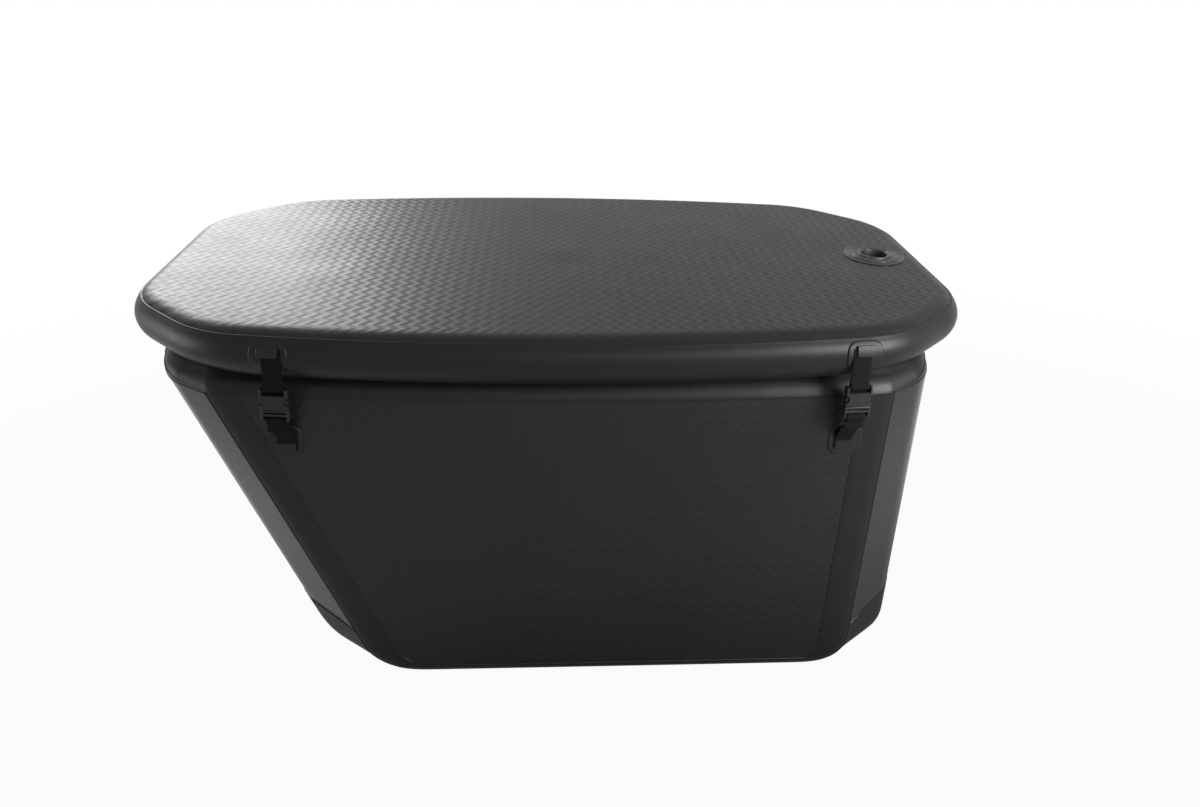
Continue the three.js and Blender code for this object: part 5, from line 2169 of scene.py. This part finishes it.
    def build_prong(self, side: int, word: str) -> None:
        """Builds one sprung prong, whose shoulder shows in the socket's notch.

        Args:
            side: -1 for the left one, 1 for the right one.
            word: Its word in the node's name.
        """
        root, arm, shoulder = 0.010, 0.0134, self.buckle_width / 2 - self.gap
        outline = [
            (root, 0.0), (arm, 0.0), (arm, 0.0082), (shoulder - 0.001, 0.0082), (shoulder, 0.0092),
            (shoulder, 0.0145), (self.cavity[0] / 2 - self.gap, 0.017), (arm + 0.001, 0.0222), (root, 0.0225),
        ]
        form = plate([(side * x, z) for x, z in outline], 0.0064)
        round_edges(form, [edge for edge in form.edges if edge.calc_face_angle() > 0.5], 0.0005, 2)
        bmesh.ops.recalc_face_normals(form, faces=form.faces)
        part = f"prong_{word}"
        self.add(part, moved(form, self.frame), BUCKLE_PLASTIC, f"{self.name}_{part}")

    def add_buckle(self, part: str, form: bmesh.types.BMesh, body: str) -> None:
        """Adds a carved buckle half, with its sharp edges broken."""
        piece = self.add(part, moved(form, self.frame), BUCKLE_PLASTIC, body, 30.0)
        edge = piece.modifiers.new("broken_edges", "BEVEL")
        edge.width = 0.0005
        edge.segments = 2
        edge.limit_method = "ANGLE"
        edge.angle_limit = math.radians(35)
        edge.harden_normals = False


# Studio


@dataclass
class Studio:
    """A pale floor, soft light and the camera at the photograph's angle."""

    image: Tuple[int, int] = (1200, 807)
    focal_pixels: float = 943.47
    principal_row: float = 258.1
    turn: float = 0.066
    tilt: float = 0.3505
    roll: float = 0.0296
    eye: Tuple[float, float, float] = (-0.02853, -1.76996, 1.36843)
    sensor: float = 36.0
    floor_size: float = 60.0
    sky: float = 0.06
    sky_mirrored: float = 1.0
    floor_lift: float = 0.955
    floor_paint: float = 0.15
    floor_stretch: float = 1.5
    shade_shift: float = 0.25
    shade_level: float = 0.12
    shade_from: float = 0.5
    shade_to: float = 1.25
    white_from: float = 1.2
    white_at: float = 3.0

    def build(self) -> None:
        """Builds the camera, the floor, the sky and the lamps."""
        bpy.context.scene.view_settings.view_transform = "Standard"
        self.build_camera()
        self.build_floor()
        self.build_sky()
        self.add_lamp("back_left_softbox", (-2.2, 3.4, 2.2), (-0.4, 0.0, 0.72), (2.2, 1.8), 130.0)
        self.add_lamp("front_softbox", (0.9, -2.6, 1.45), (0.2, -0.38, 0.65), (1.6, 0.3), 11.0)
        self.add_lamp("right_softbox", (1.25, -1.10, 1.00), (0.50, -0.36, 0.55), (0.5, 0.5), 34.0)
        self.add_lamp("left_softbox", (-1.8, -0.45, 0.60), (-0.62, -0.30, 0.50), (0.8, 0.6), 8.0)

    def build_camera(self) -> None:
        """Places the camera that was fitted to the photograph."""
        forward = Vector((math.sin(self.turn) * math.cos(self.tilt), math.cos(self.turn) * math.cos(self.tilt), -math.sin(self.tilt)))
        right = Vector((math.cos(self.turn), -math.sin(self.turn), 0.0))
        up = right.cross(forward)
        level, rise = math.cos(self.roll), math.sin(self.roll)
        right, up = right * level + up * rise, up * level - right * rise
        data = bpy.data.cameras.new("photo_camera")
        data.sensor_fit = "HORIZONTAL"
        data.sensor_width = self.sensor
        data.lens = self.focal_pixels * self.sensor / self.image[0]
        data.shift_y = (self.principal_row - self.image[1] / 2) / self.image[0]
        camera = bpy.data.objects.new("photo_camera", data)
        place = Matrix((right, up, -forward)).transposed().to_4x4()
        place.translation = Vector(self.eye)
        camera.matrix_world = place
        bpy.context.scene.collection.objects.link(camera)
        bpy.context.scene.camera = camera

    def build_floor(self) -> None:
        """Lays the pale floor, which keeps the shadow and looks white to the camera; reflections see it white too,
        except for a painted shade round the tub.
        """
        form = bmesh.new()
        bmesh.ops.create_grid(form, x_segments=1, y_segments=1, size=self.floor_size / 2)
        mesh = bpy.data.meshes.new("studio_floor")
        form.to_mesh(mesh)
        form.free()
        tree = ShaderTree("pale_floor")
        paint = tree.node("ShaderNodeBsdfDiffuse", None, {"Color": grey(self.floor_paint)})
        glow = tree.node("ShaderNodeEmission", None, {"Color": grey(1.0), "Strength": 1.0})
        stretched = {0: tree.place(), 1: (1.0, self.floor_stretch, 1.0), 2: (-self.shade_shift, 0.0, 0.0)}
        flat = tree.node("ShaderNodeVectorMath", {"operation": "MULTIPLY_ADD"}, stretched, "Vector")
        away = tree.node("ShaderNodeVectorMath", {"operation": "LENGTH"}, {0: flat}, "Value")
        # The first ramp whitens the floor for the camera away from the tub. The second paints a shade round the tub
        # into the glow that reflections see, darkest near it at shade_level; both are measured from a point shade_shift
        # towards +X.
        ramps = []
        for start, end, level in (
            (self.white_from, self.white_at, self.floor_lift),
            (self.shade_from, self.shade_to, self.shade_level),
        ):
            limits = {"Value": away, "From Min": start, "From Max": end, "To Min": level}
            ramps.append(tree.node("ShaderNodeMapRange", {"interpolation_type": "SMOOTHSTEP"}, limits))
        seen = ramps[0] * tree.node("ShaderNodeLightPath", None, None, "Is Camera Ray")
        for ray in ("Is Glossy Ray", "Is Transmission Ray"):
            seen = seen.larger(ramps[1] * tree.node("ShaderNodeLightPath", None, None, ray))
        tree.node_output(tree.node("ShaderNodeMixShader", None, {0: seen, 1: paint, 2: glow}))
        mesh.materials.append(tree.owner)
        floor = bpy.data.objects.new("studio_floor", mesh)
        bpy.context.scene.collection.objects.link(floor)

    def build_sky(self) -> None:
        """Sets the weak even light all round, which reflections see as the white backdrop."""
        tree = ShaderTree("studio_sky", world=True)
        seen = tree.node("ShaderNodeLightPath", None, None, "Is Camera Ray")
        for ray in ("Is Glossy Ray", "Is Transmission Ray"):
            seen = seen.larger(self.sky_mirrored * tree.node("ShaderNodeLightPath", None, None, ray))
        light = {"Color": grey(1.0), "Strength": seen.larger(self.sky)}
        tree.node_output(tree.node("ShaderNodeBackground", None, light))
        bpy.context.scene.world = tree.owner

    def add_lamp(self, name: str, place: Sequence[float], target: Sequence[float], size: Tuple[float, float], power: float) -> None:
        """Adds a soft rectangular lamp.

        Args:
            name: The lamp's name.
            place: Where it stands.
            target: What it points at.
            size: Its width and height.
            power: Its power in watts.
        """
        data = bpy.data.lights.new(name, "AREA")
        data.shape = "RECTANGLE"
        data.size, data.size_y = size
        data.energy = power
        lamp = bpy.data.objects.new(name, data)
        lamp.location = place
        lamp.rotation_euler = (Vector(target) - Vector(place)).to_track_quat("-Z", "Y").to_euler()
        lamp.visible_camera = False
        bpy.context.scene.collection.objects.link(lamp)


def main() -> None:
    """Builds the tub, its hardware and the studio, in order."""
    logging.basicConfig(level=logging.INFO, format="%(name)s: %(message)s")
    TubBody(WALL_FORM).build()
    Lid(LID_FORM).build()
    LID_VALVE.build_ring()
    for valve in (LID_VALVE, WALL_VALVE):
        valve.build()
    DRAIN.build()
    for place in ("front", "back"):
        for end in ("left", "right"):
            Strap(f"{place}_{end}", place == "back").build()
    Studio().build()


if __name__ == "__main__":
    main()
